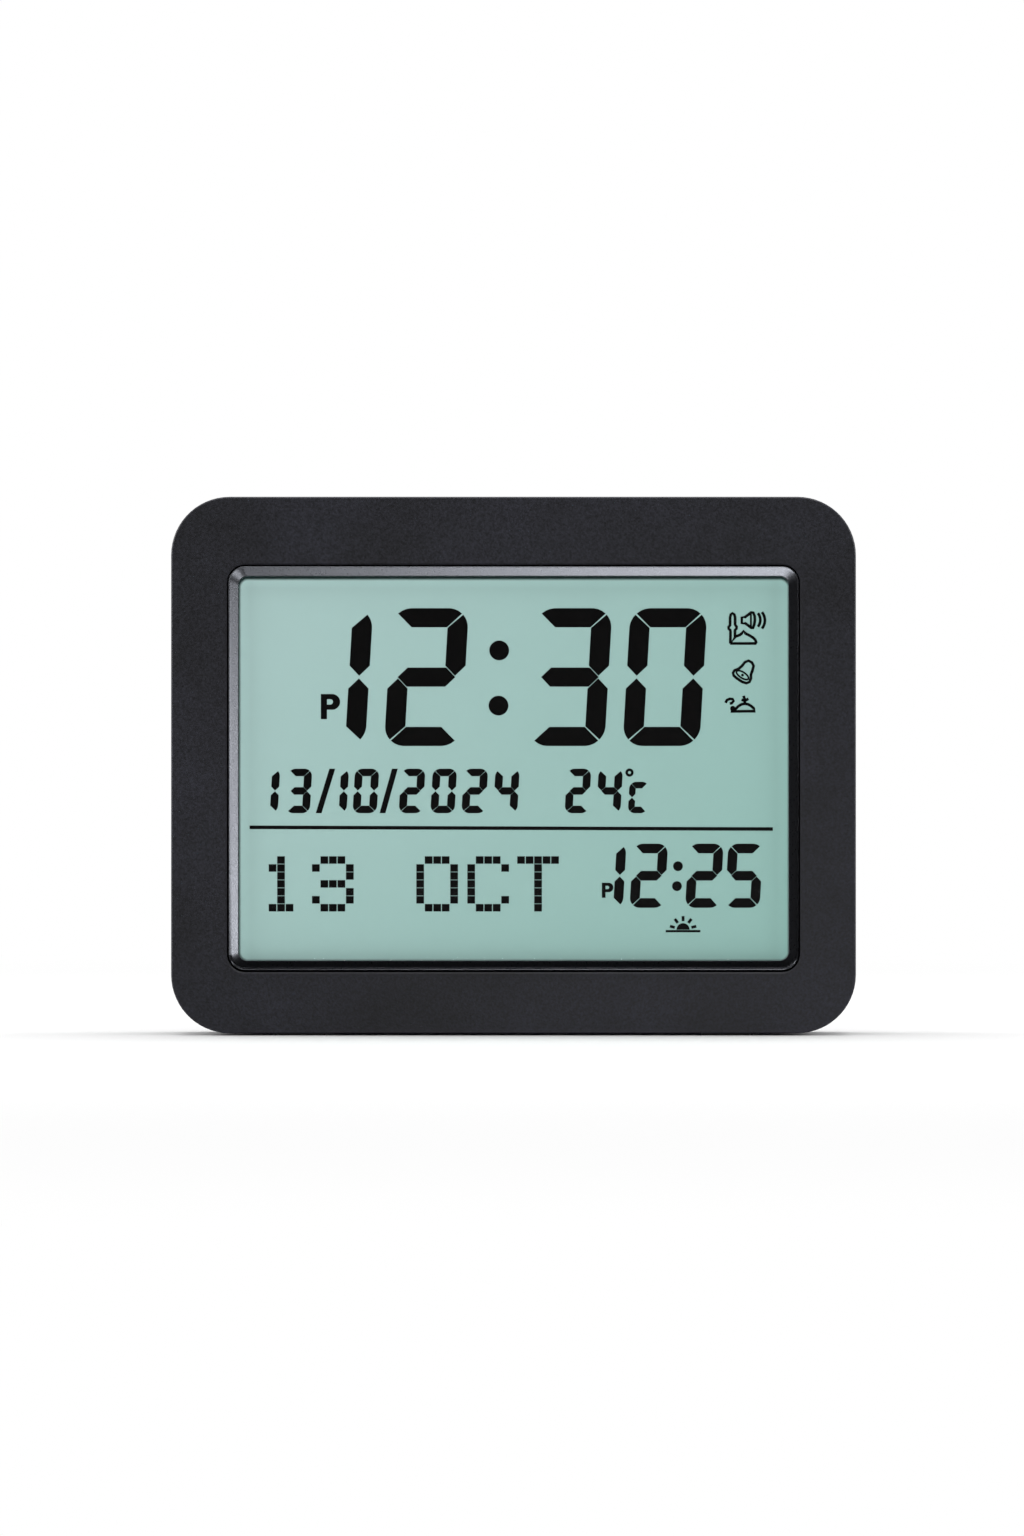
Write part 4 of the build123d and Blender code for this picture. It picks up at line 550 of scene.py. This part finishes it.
def turned(points, centre, degrees):
    """Points about their own origin, turned anticlockwise and moved to a centre."""
    turn = math.radians(degrees)
    x, z = np.asarray(points, float).T
    across = x * math.cos(turn) - z * math.sin(turn)
    up = x * math.sin(turn) + z * math.cos(turn)
    return np.stack([centre[0] + across, centre[1] + up], axis=-1)


def rays(centre, reach, turns):
    """Short lines from the first to the second of two distances, one at each angle."""
    return [
        [(centre[0] + far * math.cos(turn), centre[1] + far * math.sin(turn)) for far in reach]
        for turn in turns
    ]


minaret = [
    (76.08, 43.8), (76.15, 48.0), (76.05, 48.55), (75.5, 49.0), (75.45, 49.6), (76.0, 50.3), (76.0, 51.5),
    (76.0, 53.0), (76.25, 54.0), (76.8, 54.45), (77.45, 54.05), (77.75, 53.0), (77.75, 51.5), (77.75, 50.4),
    (78.3, 49.7), (78.2, 49.0), (77.7, 48.55), (77.7, 46.3),
]
dome = [
    (76.1, 43.85), (77.8, 46.2), (79.4, 46.85), (80.15, 47.4), (80.7, 48.2), (81.35, 47.4), (82.8, 46.65),
    (84.1, 45.85), (84.85, 45.05), (85.2, 44.1), (85.1, 43.85), (76.1, 43.85),
]
horn = [
    (80.1, 50.9), (81.3, 50.95), (83.5, 49.3), (84.0, 49.2), (84.5, 50.6), (84.7, 52.05), (84.6, 53.5),
    (84.1, 54.7), (83.5, 54.8), (81.2, 53.05), (80.1, 53.0), (80.1, 50.9),
]
waves = [arc_points(82.78, 52.1, 3.82, -39, 39, 9), arc_points(83.7, 51.95, 4.51, -40, 40, 9)]
bell = [
    (82.5, 37.8), (83.65, 37.15), (84.25, 36.0), (83.8, 34.25), (83.3, 32.9), (83.35, 31.6), (82.8, 30.35),
    (81.75, 29.9), (80.2, 30.4), (78.4, 31.6), (77.25, 32.6), (77.0, 33.5), (77.55, 34.4), (79.0, 34.95),
    (80.2, 36.0), (81.2, 37.3), (82.5, 37.8),
]
mouth = turned(arc_points(0, 0, MOUTH_RADIUS, 0, 360, flat=MOUTH_FLAT), MOUTH_CENTRE, MOUTH_TURN)
low_dome = [
    (76.2, 20.0), (78.0, 20.95), (79.0, 21.9), (80.0, 22.5), (81.2, 22.7), (82.35, 22.5), (83.4, 21.9),
    (84.4, 20.95), (84.9, 20.1), (76.2, 20.0),
]
finial = [[(81.2, 22.8), (81.1, 24.3), (80.7, 25.5)], [(80.0, 24.15), (81.05, 23.7), (82.45, 24.45)]]
breeze = [
    (74.4, 23.0), (74.9, 24.0), (75.9, 24.4), (76.9, 24.3), (77.25, 23.7), (76.5, 22.85), (75.85, 22.8),
]
sun_rays = rays(SUN, SUN_RAY, np.radians(np.linspace(15, 165, 5)))
icon_lines = [minaret, dome, horn, *waves, bell, low_dome, *finial, breeze, *sun_rays]
segments(
    "readout_pictograms",
    [line_grid(line, STROKE) for line in icon_lines]
    + [line_grid(mouth, MOUTH_LINE), disc_grid(*MOUTH_CENTRE, CLAPPER_RADIUS)]
    + [box_grid(*HORN_PLATE), disc_grid(*LANTERN, LANTERN_RADIUS)]
    + [disc_grid(*SUN, SUN_RADIUS, low=0.0), box_grid(*HORIZON)],
)

# Inside the display: glasses, reflector, light guide with its lamp strip, foam spacer,
# white tray, rubber contact strips and the display's circuit board.
CLEAR_ROUGHNESS, CLEAR_ALPHA, CLEAR_CLOUD_SCALE = 0.05, 0.35, 60
CLEAR_TINTS = (0.62, 0.78, 0.74), (0.70, 0.84, 0.80)
clear_stock, clear_tree, clear_shader = new_material("display_glass")
clear_cloud = add_node(clear_tree, "TexNoise", {"Scale": CLEAR_CLOUD_SCALE}).outputs["Fac"]
feed(clear_tree, clear_shader, {
    "Roughness": CLEAR_ROUGHNESS,
    "Alpha": CLEAR_ALPHA,
    "Base Color": blend_of(clear_tree, clear_cloud, *CLEAR_TINTS),
})
dress(clear_stock, "lcd_front_glass", "lcd_rear_glass", "light_guide")
dress(stock("reflector_film", (0.55, 0.70, 0.66), 0.35, 0.002, 0.000005, metallic=0.4), "lcd_reflector")
foam = stock("black_foam", (0.020, 0.020, 0.021), 0.92, 0.0007, 0.0002, mottle=0.4)
dress(foam, "window_gasket", "speaker_gasket")
dress(stock("white_nylon", (0.62, 0.62, 0.59), 0.48, 0.0012, 0.00002), "lcd_holder", "ribbon_connectors")
dress(
    stock("banded_rubber", (0.16, 0.13, 0.12), 0.75, 0.0008, 0.00004, mottle=0.6, stretch=(6, 1, 0.05)),
    "zebra_strip_upper", "zebra_strip_lower",
)
board = stock("board_lacquer", (0.016, 0.115, 0.045), 0.32, 0.0035, 0.00002, mottle=0.35)
dress(board, "display_board", "main_board", "backlight_board")

# Power: cells in printed steel jackets, nickel-plated spring contacts, red and black
# leads. The jacket's band marks the end with the nub.
CELL_ENDS = {"battery_cell_upper": -1, "battery_cell_middle": 1, "battery_cell_lower": -1}
CELL_JACKET, CELL_BAND, CELL_STEEL = (0.030, 0.055, 0.105), (0.62, 0.62, 0.64), (0.55, 0.54, 0.52)
BAND_START, STEEL_START = (0.0112, 0.0114), (0.0240, 0.0241)
for cell, end in CELL_ENDS.items():
    jacket = stock("jacket_" + cell, CELL_JACKET, 0.28, 0.004, 0.000005, mottle=0.1, metallic=0.6)
    tree, shader, place, tint = opened(jacket)
    length_way = add_node(tree, "SeparateXYZ", {"Vector": place}).outputs["X"]
    along = step_of(tree, "MULTIPLY", length_way, end)
    banded = blend_of(tree, ramp_of(tree, along, *BAND_START), tint, CELL_BAND)
    feed(tree, shader, {
        "Base Color": blend_of(tree, ramp_of(tree, along, *STEEL_START), banded, CELL_STEEL),
    })
    dress(jacket, cell)
nickel = stock(
    "nickel_plate", (0.60, 0.58, 0.54), 0.26, 0.0012, 0.000006, metallic=1.0, stretch=(1, 8, 1)
)
dress(nickel, "terminal_positive", "terminal_negative", "battery_link_left", "battery_link_right")
dress(stock("red_insulation", (0.32, 0.012, 0.010), 0.45, 0.0015, 0.00001), "battery_lead_positive")
black_lead = stock("black_insulation", (0.012, 0.012, 0.013), 0.45, 0.0015, 0.00001)
dress(black_lead, "battery_lead_negative", "speaker_lead")

# Stand: U-shaped prop moulded in the case's plastic, with a rubber strip let into its
# foot. The four feet are the same rubber, pressed into the case.
dress(stock("stand_abs", (0.0175, 0.0184, 0.0250), 0.46, CASE_GRAIN, 0.00003, mottle=0.25), "kickstand")
dress(
    stock("soft_rubber", (0.0085, 0.0085, 0.0088), 0.82, 0.0009, 0.00005, mottle=0.3),
    "kickstand_pad", "foot_front_left", "foot_front_right", "foot_rear_left", "foot_rear_right",
)

# Controls: keys and the slide's knob in a smoother, slightly lighter plastic, so that they
# stand out from the panel. The reset button is white, at the bottom of its hole.
KEY_NODES = ["set_key", "mode_key", "up_key", "down_key", "azan_key", "light_key"]
dress(stock("key_abs", (0.034, 0.035, 0.043), 0.36, 0.0008, 0.00001), *KEY_NODES, "volume_slider")
dress(stock("reset_nylon", (0.55, 0.55, 0.53), 0.45, 0.0010, 0.00001), "reset_button")

# Symbols: pale ink printed on the keys, and on the panel beside the slide and the reset
# hole. Each moves with the part that it is printed on.
PRINT_DEPTH = 0.00003
PRINT_LINE = 0.45
KEY_FACE, PANEL_FACE = 0.01651, 0.01551
KEY_X, SIDE_X = 0.085, 0.064
KEY_TOP, KEY_STEP = 0.1400, 0.0130
SLIDE_Z, RESET_Z = 0.1295, 0.0815
DIAL_RADIUS, BULB_RADIUS = 2.3, 1.0
HORN_CENTRE, HORN_SCALE = (83.5, 52.05), 0.9
TURN_RADIUS, TURN_START, TURN_END, TURN_LINE = 2.6, 65, 368, 0.4
print_ink = stock("pale_print", (0.42, 0.42, 0.43), 0.6, 0.0005, 0.000003)
arrow_head = np.array([[(-2.3, -1.4), (2.3, -1.4)], [(-0.1, 1.7), (0.1, 1.7)]])
clock_hands = [[(0.0, -0.2), (0.0, 1.5)], [(-0.2, 0.0), (1.2, 0.0)]]
spokes = rays((0, 0), (1.5, 2.4), np.linspace(0, 1.75 * math.pi, 8))
loudspeaker = [(np.array(line) - HORN_CENTRE) * HORN_SCALE for line in (horn, *waves)]
KEY_SYMBOLS = {
    "set": [line_grid(line, PRINT_LINE) for line in (arc_points(0, 0, DIAL_RADIUS, 0, 360), *clock_hands)],
    "mode": [box_grid(-2.5, level, 5.0, PRINT_LINE) for level in (-1.75, -0.22, 1.3)],
    "up": [arrow_head],
    "down": [arrow_head * (1, -1)],
    "azan": [line_grid(line, PRINT_LINE) for line in loudspeaker],
    "light": [disc_grid(0, 0, BULB_RADIUS, steps=9)] + [line_grid(line, PRINT_LINE) for line in spokes],
}
for row, (name, grids) in enumerate(KEY_SYMBOLS.items()):
    printed(
        name + "_symbol", grids, KEY_FACE, PRINT_DEPTH, print_ink, name + "_button",
        centre=(KEY_X, KEY_TOP - row * KEY_STEP), facing=-1,
    )
loudness = np.array([[(4.7, -3.4), (4.95, -3.4)], [(4.7, 3.4), (7.3, 3.4)]])
printed(
    "volume_wedge", [loudness], PANEL_FACE, PRINT_DEPTH, print_ink, centre=(SIDE_X, SLIDE_Z), facing=-1
)
back_arrow = np.array([[(1.85, 0.25), (3.3, 0.5)], [(2.2, 1.7), (2.35, 1.73)]])
turned_line = line_grid(arc_points(0, 0, TURN_RADIUS, TURN_START, TURN_END), TURN_LINE)
printed(
    "reset_symbol", [turned_line, back_arrow], PANEL_FACE, PRINT_DEPTH, print_ink,
    centre=(SIDE_X, RESET_Z), facing=-1,
)

# Door arrow: raised in the door's own plastic below the latch. It shows which way the
# latch is pressed.
DOOR_FACE, DOOR_MARK_Z, DOOR_MARK_HEIGHT = 0.0175, 0.0545, 0.00018
ARROW_SHAFT = (-0.9, 1.5, 1.8, 2.6)
printed(
    "door_arrow", [arrow_head * (1, -1), box_grid(*ARROW_SHAFT)], DOOR_FACE, DOOR_MARK_HEIGHT, case_abs,
    "door", centre=(0, DOOR_MARK_Z), facing=-1,
)

# Electronics: chips and switches moulded in black epoxy and cans drawn from metal, all
# soldered to the main board, with a socket in the side wall. A flat film cable with printed
# conductors joins the two boards.
dress(
    stock("component_epoxy", (0.0120, 0.0120, 0.0125), 0.55, 0.0006, 0.00002, mottle=0.3),
    "key_switches", "slide_switch_body", "reset_switch_body",
    "controller_chip", "sound_chip", "temperature_sensor",
)
dress(stock("socket_plastic", (0.010, 0.010, 0.011), 0.34, 0.0007, 0.00001), "dc_socket")
can = stock("drawn_can", (0.48, 0.48, 0.50), 0.30, 0.0010, 0.000008, metallic=1.0, stretch=(1, 6, 1))
dress(can, "crystal", "capacitors")
film = stock("cable_film", (0.62, 0.60, 0.54), 0.40, 0.0010, 0.00001, stretch=(5, 1, 0.1))
dress(film, "display_ribbon")

# Speaker: plated steel basket with a ferrite magnet. It sits on a foam ring inside the
# cover's grille.
dress(stock("plated_basket", (0.30, 0.30, 0.31), 0.38, 0.0015, 0.00001, metallic=1.0), "speaker_frame")
dress(stock("ferrite", (0.030, 0.030, 0.032), 0.60, 0.0008, 0.00005), "speaker_magnet")

# Speaker cone: pressed paper, ribbed, with a domed dust cap at its middle and a rolled edge
# that is glued to the basket's rim.
SPEAKER_X, SPEAKER_Z = -0.072, 0.118
CONE_SHEET = 0.0004
CAP_RADIUS, CAP_TOP, CAP_FOOT = 0.0070, 0.0123, 0.0111
CONE_EDGE, CONE_RIM_Y, ROLL_END, ROLL_DEPTH, CONE_RADIUS = 0.0180, 0.0148, 0.0204, 0.0008, 0.0209
RIB_HEIGHT, RIB_COUNT = 0.00009, 9
CONE_POWER = 0.9
CAP_RINGS, CONE_RINGS, CONE_COLUMNS = 9, 90, 96
FIRST_RING = 0.0002
JOIN_DISTANCE = 1e-7


def cone_height(radius):
    """Rear face of the cone at a radius: a parabola over the cap, a straight slope with round
    ribs out to its edge, bent a little by the cone's power, and a half wave into the basket
    for the roll."""
    cap = CAP_TOP - (CAP_TOP - CAP_FOOT) * (radius / CAP_RADIUS) ** 2
    slope = np.clip((radius - CAP_RADIUS) / (CONE_EDGE - CAP_RADIUS), 0, 1)
    ribs = RIB_HEIGHT * np.sin(slope * RIB_COUNT * 2 * math.pi)
    cone = CAP_FOOT + (CONE_RIM_Y - CAP_FOOT) * slope**CONE_POWER + ribs
    roll = np.clip((radius - CONE_EDGE) / (ROLL_END - CONE_EDGE), 0, 1)
    return np.where(radius < CAP_RADIUS, cap, cone - ROLL_DEPTH * np.sin(roll * math.pi))


def turned_sheet(name, radii, depths, material, centre, body="case"):
    """Closed profile of radius and depth turned about an axis that runs from front to back."""
    turn = np.linspace(0, 2 * math.pi, CONE_COLUMNS, endpoint=False)
    x = centre[0] + radii[:, None] * np.cos(turn)
    z = centre[1] + radii[:, None] * np.sin(turn)
    y = np.broadcast_to(depths[:, None], x.shape)
    piece = sheet_of(name, np.stack([x, y, z], axis=-1), material, body, loop_u=True, loop_v=True)
    return welded(piece)


def welded(piece):
    """Joins the points that fall together, drops what has no area, and turns faces outwards."""
    shell = bmesh.new()
    shell.from_mesh(piece.data)
    bmesh.ops.remove_doubles(shell, verts=shell.verts, dist=JOIN_DISTANCE)
    bmesh.ops.delete(shell, geom=[edge for edge in shell.edges if not edge.link_faces], context="EDGES")
    bmesh.ops.delete(shell, geom=[point for point in shell.verts if not point.link_faces], context="VERTS")
    bmesh.ops.recalc_face_normals(shell, faces=shell.faces)
    shell.to_mesh(piece.data)
    shell.free()
    return piece


cone_radii = np.concatenate([
    np.linspace(0, CAP_RADIUS, CAP_RINGS),
    np.linspace(CAP_RADIUS + FIRST_RING, CONE_RADIUS, CONE_RINGS),
])
cone_face = cone_height(cone_radii)
cone = turned_sheet(
    "pressed_cone",
    np.concatenate([cone_radii, cone_radii[::-1]]),
    np.concatenate([cone_face, (cone_face - CONE_SHEET)[::-1]]),
    stock("cone_fibre", (0.020, 0.018, 0.016), 0.85, 0.0012, 0.0001, mottle=0.5),
    (SPEAKER_X, SPEAKER_Z),
)
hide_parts("speaker_cone")

# Small screws: zinc-plated steel, driven from behind. They hold the circuit boards and the
# display's tray.
zinc = stock("zinc_plate", (0.42, 0.42, 0.43), 0.34, 0.0006, 0.00001, metallic=1.0, stretch=(1, 5, 1))
dress(zinc, "board_screws", "holder_screws")

# Case screws: six self-tapping pan heads with a cross recess, driven from behind through
# the cover's towers into the bezel's bosses.
SCREW_X, SCREW_HEIGHTS = 0.1095, (0.0158, 0.0948, 0.1738)
HEAD_RADIUS, HEAD_SEAT, HEAD_TOP, HEAD_CROWN = 0.0030, 0.0035, 0.0059, 0.0005
RECESS_LENGTH, RECESS_WIDTH, RECESS_DEPTH = 0.0018, 0.00042, 0.0014
SHANK_RADIUS, SHANK_TIP = 0.0015, -0.0127
THREAD_PITCH, THREAD_DEPTH, THREAD_ROWS, THREAD_COLUMNS = 0.0012, 0.00028, 8, 24
HEAD_STEPS, HEAD_ROLL = 29, 0.0003
RECESS_FLANK, RECESS_RAMP = 0.5, 0.75
TAPER_LENGTH, TIP_SHARE = 0.003, 0.25


def screw_shells():
    """Points and faces of one screw at the origin. The head is two squeezed square grids, the
    upper one lowered by a shallow parabola and, where the smaller of |x| and |z| lies inside
    the arms' half width, by a cross that narrows with its depth. The shank is turned, and its
    radius follows a triangle wave of angle and depth, which makes the thread."""
    disc = disc_grid(0, 0, HEAD_RADIUS, steps=HEAD_STEPS)
    x, z = disc[..., 0], disc[..., 1]
    inner, outer = np.minimum(abs(x), abs(z)), np.maximum(abs(x), abs(z))
    arms = np.clip((RECESS_WIDTH - inner) / (RECESS_FLANK * RECESS_WIDTH), 0, 1)
    reach = np.clip((RECESS_LENGTH - outer) / (RECESS_RAMP * RECESS_LENGTH), 0, 1)
    top = HEAD_TOP - HEAD_CROWN * (x**2 + z**2) / HEAD_RADIUS**2 - RECESS_DEPTH * arms * reach
    side = np.full_like(top, HEAD_TOP - HEAD_CROWN - HEAD_ROLL)
    seat = np.full_like(top, HEAD_SEAT)
    points = [np.stack([x, level, z], axis=-1).reshape(-1, 3) for level in (top, side, seat)]
    layer = HEAD_STEPS**2
    index = np.arange(layer).reshape(HEAD_STEPS, HEAD_STEPS)
    quads = grid_quads(index)
    edge = np.concatenate([index[:-1, 0], index[-1, :-1], index[:0:-1, -1], index[0, :0:-1]])
    ahead = np.roll(edge, -1)
    faces = [quads, quads[:, ::-1] + 2 * layer]
    for above in (0, layer):
        below = above + layer
        faces.append(np.stack([edge + above, edge + below, ahead + below, ahead + above], axis=-1))
    rows = round((HEAD_SEAT - SHANK_TIP) / THREAD_PITCH * THREAD_ROWS)
    depth = np.linspace(HEAD_SEAT, SHANK_TIP, rows)[:, None]
    turn = np.linspace(0, 2 * math.pi, THREAD_COLUMNS, endpoint=False)[None, :]
    wave = abs((depth / THREAD_PITCH + turn / (2 * math.pi)) % 1 * 2 - 1)
    taper = np.clip((depth - SHANK_TIP) / TAPER_LENGTH, TIP_SHARE, 1)
    radius = (SHANK_RADIUS - THREAD_DEPTH * (1 - wave)) * taper
    radius[0] = radius[-1] = 0
    y = np.broadcast_to(depth, radius.shape)
    shank = np.stack([radius * np.cos(turn), y, radius * np.sin(turn)], axis=-1)
    around = np.arange(rows * THREAD_COLUMNS).reshape(rows, THREAD_COLUMNS) + 3 * layer
    around = np.hstack([around, around[:, :1]])
    faces.append(grid_quads(around.T))
    return np.vstack(points + [shank.reshape(-1, 3)]), np.vstack(faces)


screw_points, screw_faces = screw_shells()
screw_places = [(side * SCREW_X, height) for height in SCREW_HEIGHTS for side in (-1, 1)]
screws = welded(body_of_faces(
    "cross_head_screws",
    np.vstack([screw_points + (x, 0, z) for x, z in screw_places]),
    np.vstack([screw_faces + step * len(screw_points) for step in range(len(screw_places))]),
    zinc, "case", smooth=False,
))
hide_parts("case_screws")

# Floor: a matt pale sheet under the clock, which fades to plain white away from it. Only
# the camera sees the fade, so that it doesn't light the clock.
FLOOR_HALF = 8.0
FLOOR_COLOUR, FLOOR_ROUGHNESS = (0.86, 0.86, 0.86, 1), 0.9
FLOOR_FADE = (0.22, 0.95)
floor_paint, floor_tree, floor_shader = new_material("pale_floor")
feed(floor_tree, floor_shader, {
    "Base Color": FLOOR_COLOUR, "Roughness": FLOOR_ROUGHNESS, "Specular IOR Level": 0.0,
})
floor_place = add_node(floor_tree, "TexCoord").outputs["Object"]
floor_reach = add_node(floor_tree, "VectorMath", {0: floor_place})
floor_reach.operation = "LENGTH"
floor_seen = add_node(floor_tree, "LightPath").outputs["Is Camera Ray"]
floor_fade = ramp_of(floor_tree, floor_reach.outputs["Value"], *FLOOR_FADE)
floor_mix = add_node(floor_tree, "MixShader", {
    0: step_of(floor_tree, "MULTIPLY", floor_fade, floor_seen),
    1: floor_shader.outputs["BSDF"],
    2: add_node(floor_tree, "Emission").outputs["Emission"],
})
feed(floor_tree, floor_tree.nodes["Material Output"], {"Surface": floor_mix.outputs["Shader"]})


def stage_sheet(name, corners, material):
    """One flat four-sided face that isn't part of the clock."""
    mesh = bpy.data.meshes.new(name)
    mesh.from_pydata(corners, [], [(0, 1, 2, 3)])
    mesh.materials.append(material)
    piece = bpy.data.objects.new(name, mesh)
    bpy.context.scene.collection.objects.link(piece)
    return piece


def level_sheet(name, half_width, front, back, height, material):
    """Level stage sheet between two depths."""
    corners = [(-half_width, front), (half_width, front), (half_width, back), (-half_width, back)]
    return stage_sheet(name, [(*corner, height) for corner in corners], material)


level_sheet("floor", FLOOR_HALF, -FLOOR_HALF, FLOOR_HALF, 0, floor_paint)

# Screens: dark sheets in front of the clock, to its right and on the floor before it. They
# only show as reflections, so that the window stays clear.
SCREEN_COLOUR = (0.02, 0.02, 0.022, 1)
SCREEN_HALF, SCREEN_Y, SCREEN_TOP, SCREEN_FOOT = 5, -2.6, 4, 0.001
RIGHT_SCREEN_X, RIGHT_SCREEN_BACK_Y = 2.6, 0.6
APRON_BACK_Y, APRON_Z = -0.0185, 0.0004
dark, dark_tree, dark_base = new_material("dark_screen")
dark_tree.nodes.remove(dark_base)
dark_glow = add_node(dark_tree, "Emission", {"Color": SCREEN_COLOUR}).outputs["Emission"]
feed(dark_tree, dark_tree.nodes["Material Output"], {"Surface": dark_glow})


def upright_sheet(name, start, end):
    """Dark sheet that stands between two points of the floor."""
    corners = [(start, SCREEN_FOOT), (end, SCREEN_FOOT), (end, SCREEN_TOP), (start, SCREEN_TOP)]
    return stage_sheet(name, [(*place, height) for place, height in corners], dark)


dark_sheets = [
    upright_sheet("front_screen", (-SCREEN_HALF, SCREEN_Y), (SCREEN_HALF, SCREEN_Y)),
    level_sheet("floor_screen", SCREEN_HALF, SCREEN_Y, APRON_BACK_Y, APRON_Z, dark),
    upright_sheet("right_screen", (RIGHT_SCREEN_X, SCREEN_Y), (RIGHT_SCREEN_X, RIGHT_SCREEN_BACK_Y)),
]
for sheet in dark_sheets:
    sheet.visible_camera = False
    sheet.visible_diffuse = False
    sheet.visible_transmission = False
    sheet.visible_shadow = False

# Lamps: soft strips that the glossy faces mirror, placed where the ring's bevel sends them
# to the camera, and three that light the clock from its sides and from above.
FRONT_Y = -0.0175
RING_TOP_Z, RING_LEFT_X = 0.165, -0.1
BEVEL_TURN = math.radians(44)
CLOCK_MIDDLE = (0, 0, 0.1)
SIDE_PLACE, SIDE_SIZE = (1.3, 0.15, 0.45), (0.5, 0.9)
OVER_PLACE, OVER_SIZE = (0, 0.1, 1.4), (1.0, 0.5)
BODY_WATTS = 7


def lamp(name, place, aim, size, watts):
    """Soft rectangular lamp at a place, turned to face the aim."""
    light = bpy.data.lights.new(name, "AREA")
    light.shape = "RECTANGLE"
    light.size, light.size_y = size
    light.energy = watts
    holder = bpy.data.objects.new(name, light)
    holder.location = place
    run = [b - a for a, b in zip(place, aim)]
    holder.rotation_euler = Vector(run).to_track_quat("-Z", "Y").to_euler()
    bpy.context.scene.collection.objects.link(holder)
    return holder


def bevel_lamp(name, aim, away, out, size, watts):
    """Lamp at a distance from its aim on the front, turned away from the camera's line by the
    angle at which a bevel mirrors it. Out is the way across the front, as (x, z)."""
    reach = away * math.sin(BEVEL_TURN)
    place = (aim[0] + out[0] * reach, aim[1] - away * math.cos(BEVEL_TURN), aim[2] + out[1] * reach)
    return lamp(name, place, aim, size, watts)


strips = [
    bevel_lamp("top_strip", (0.45, FRONT_Y, RING_TOP_Z), 1.1, (0, 1), (0.95, 0.24), 7.0),
    bevel_lamp("left_strip", (RING_LEFT_X, FRONT_Y, 0.035), 1.1, (-1, 0), (0.24, 0.16), 2.0),
    bevel_lamp("left_low", (RING_LEFT_X, FRONT_Y, 0.02), 0.3, (-1, 0), (0.065, 0.03), 0.06),
    lamp("corner_spot", (-0.64, -0.81, 0.70), (-0.098, FRONT_Y, 0.161), (0.42, 0.22), 1.9),
]
sheen = lamp("face_sheen", (0.09, -0.42, 0.007), (0.05, FRONT_Y, 0.014), (0.36, 0.010), 0.22)
sheen.visible_camera = False
for strip in [*strips, sheen]:
    strip.visible_diffuse = False
for name, side in (("side_left", -1), ("side_right", 1)):
    lamp(name, (side * SIDE_PLACE[0], *SIDE_PLACE[1:]), CLOCK_MIDDLE, SIDE_SIZE, BODY_WATTS)
lamp("over", OVER_PLACE, CLOCK_MIDDLE, OVER_SIZE, BODY_WATTS)

# World: plain white to the camera and in reflections, and a little dimmer for the light
# that falls on matt surfaces.
WORLD_DIM, WORLD_SHOWN = 0.75, 1.0
world = bpy.data.worlds.new("studio")
bpy.context.scene.world = world
world.use_nodes = True
world_tree = world.node_tree
world_ray = add_node(world_tree, "LightPath").outputs
mirrored = step_of(world_tree, "MAXIMUM", world_ray["Is Glossy Ray"], world_ray["Is Transmission Ray"])
shown = step_of(world_tree, "MAXIMUM", world_ray["Is Camera Ray"], mirrored)
feed(world_tree, world_tree.nodes["Background"], {
    "Color": (1, 1, 1, 1),
    "Strength": ramp_of(world_tree, shown, 0, 1, "LINEAR", (WORLD_DIM, WORLD_SHOWN)),
})
bpy.context.scene.view_settings.view_transform = "Standard"

# Camera: long lens on an upright film, level with the middle of the display and square to
# it. At the depth of the case's face it takes in the view's height.
LENS_MM, FILM_MM = 150, 36
VIEW_HEIGHT, FACE_Y = 0.5382, -0.0157
CAMERA_X, CAMERA_Z = -0.00053, 0.09375
CAMERA_REACH = 50
camera = bpy.data.cameras.new("camera")
camera.sensor_fit = "VERTICAL"
camera.sensor_height = camera.sensor_width = FILM_MM
camera.lens = LENS_MM
camera.clip_end = CAMERA_REACH
viewer = bpy.data.objects.new("camera", camera)
viewer.location = (CAMERA_X, FACE_Y - VIEW_HEIGHT * LENS_MM / FILM_MM, CAMERA_Z)
viewer.rotation_euler = (math.pi / 2, 0, 0)
bpy.context.scene.collection.objects.link(viewer)
bpy.context.scene.camera = viewer
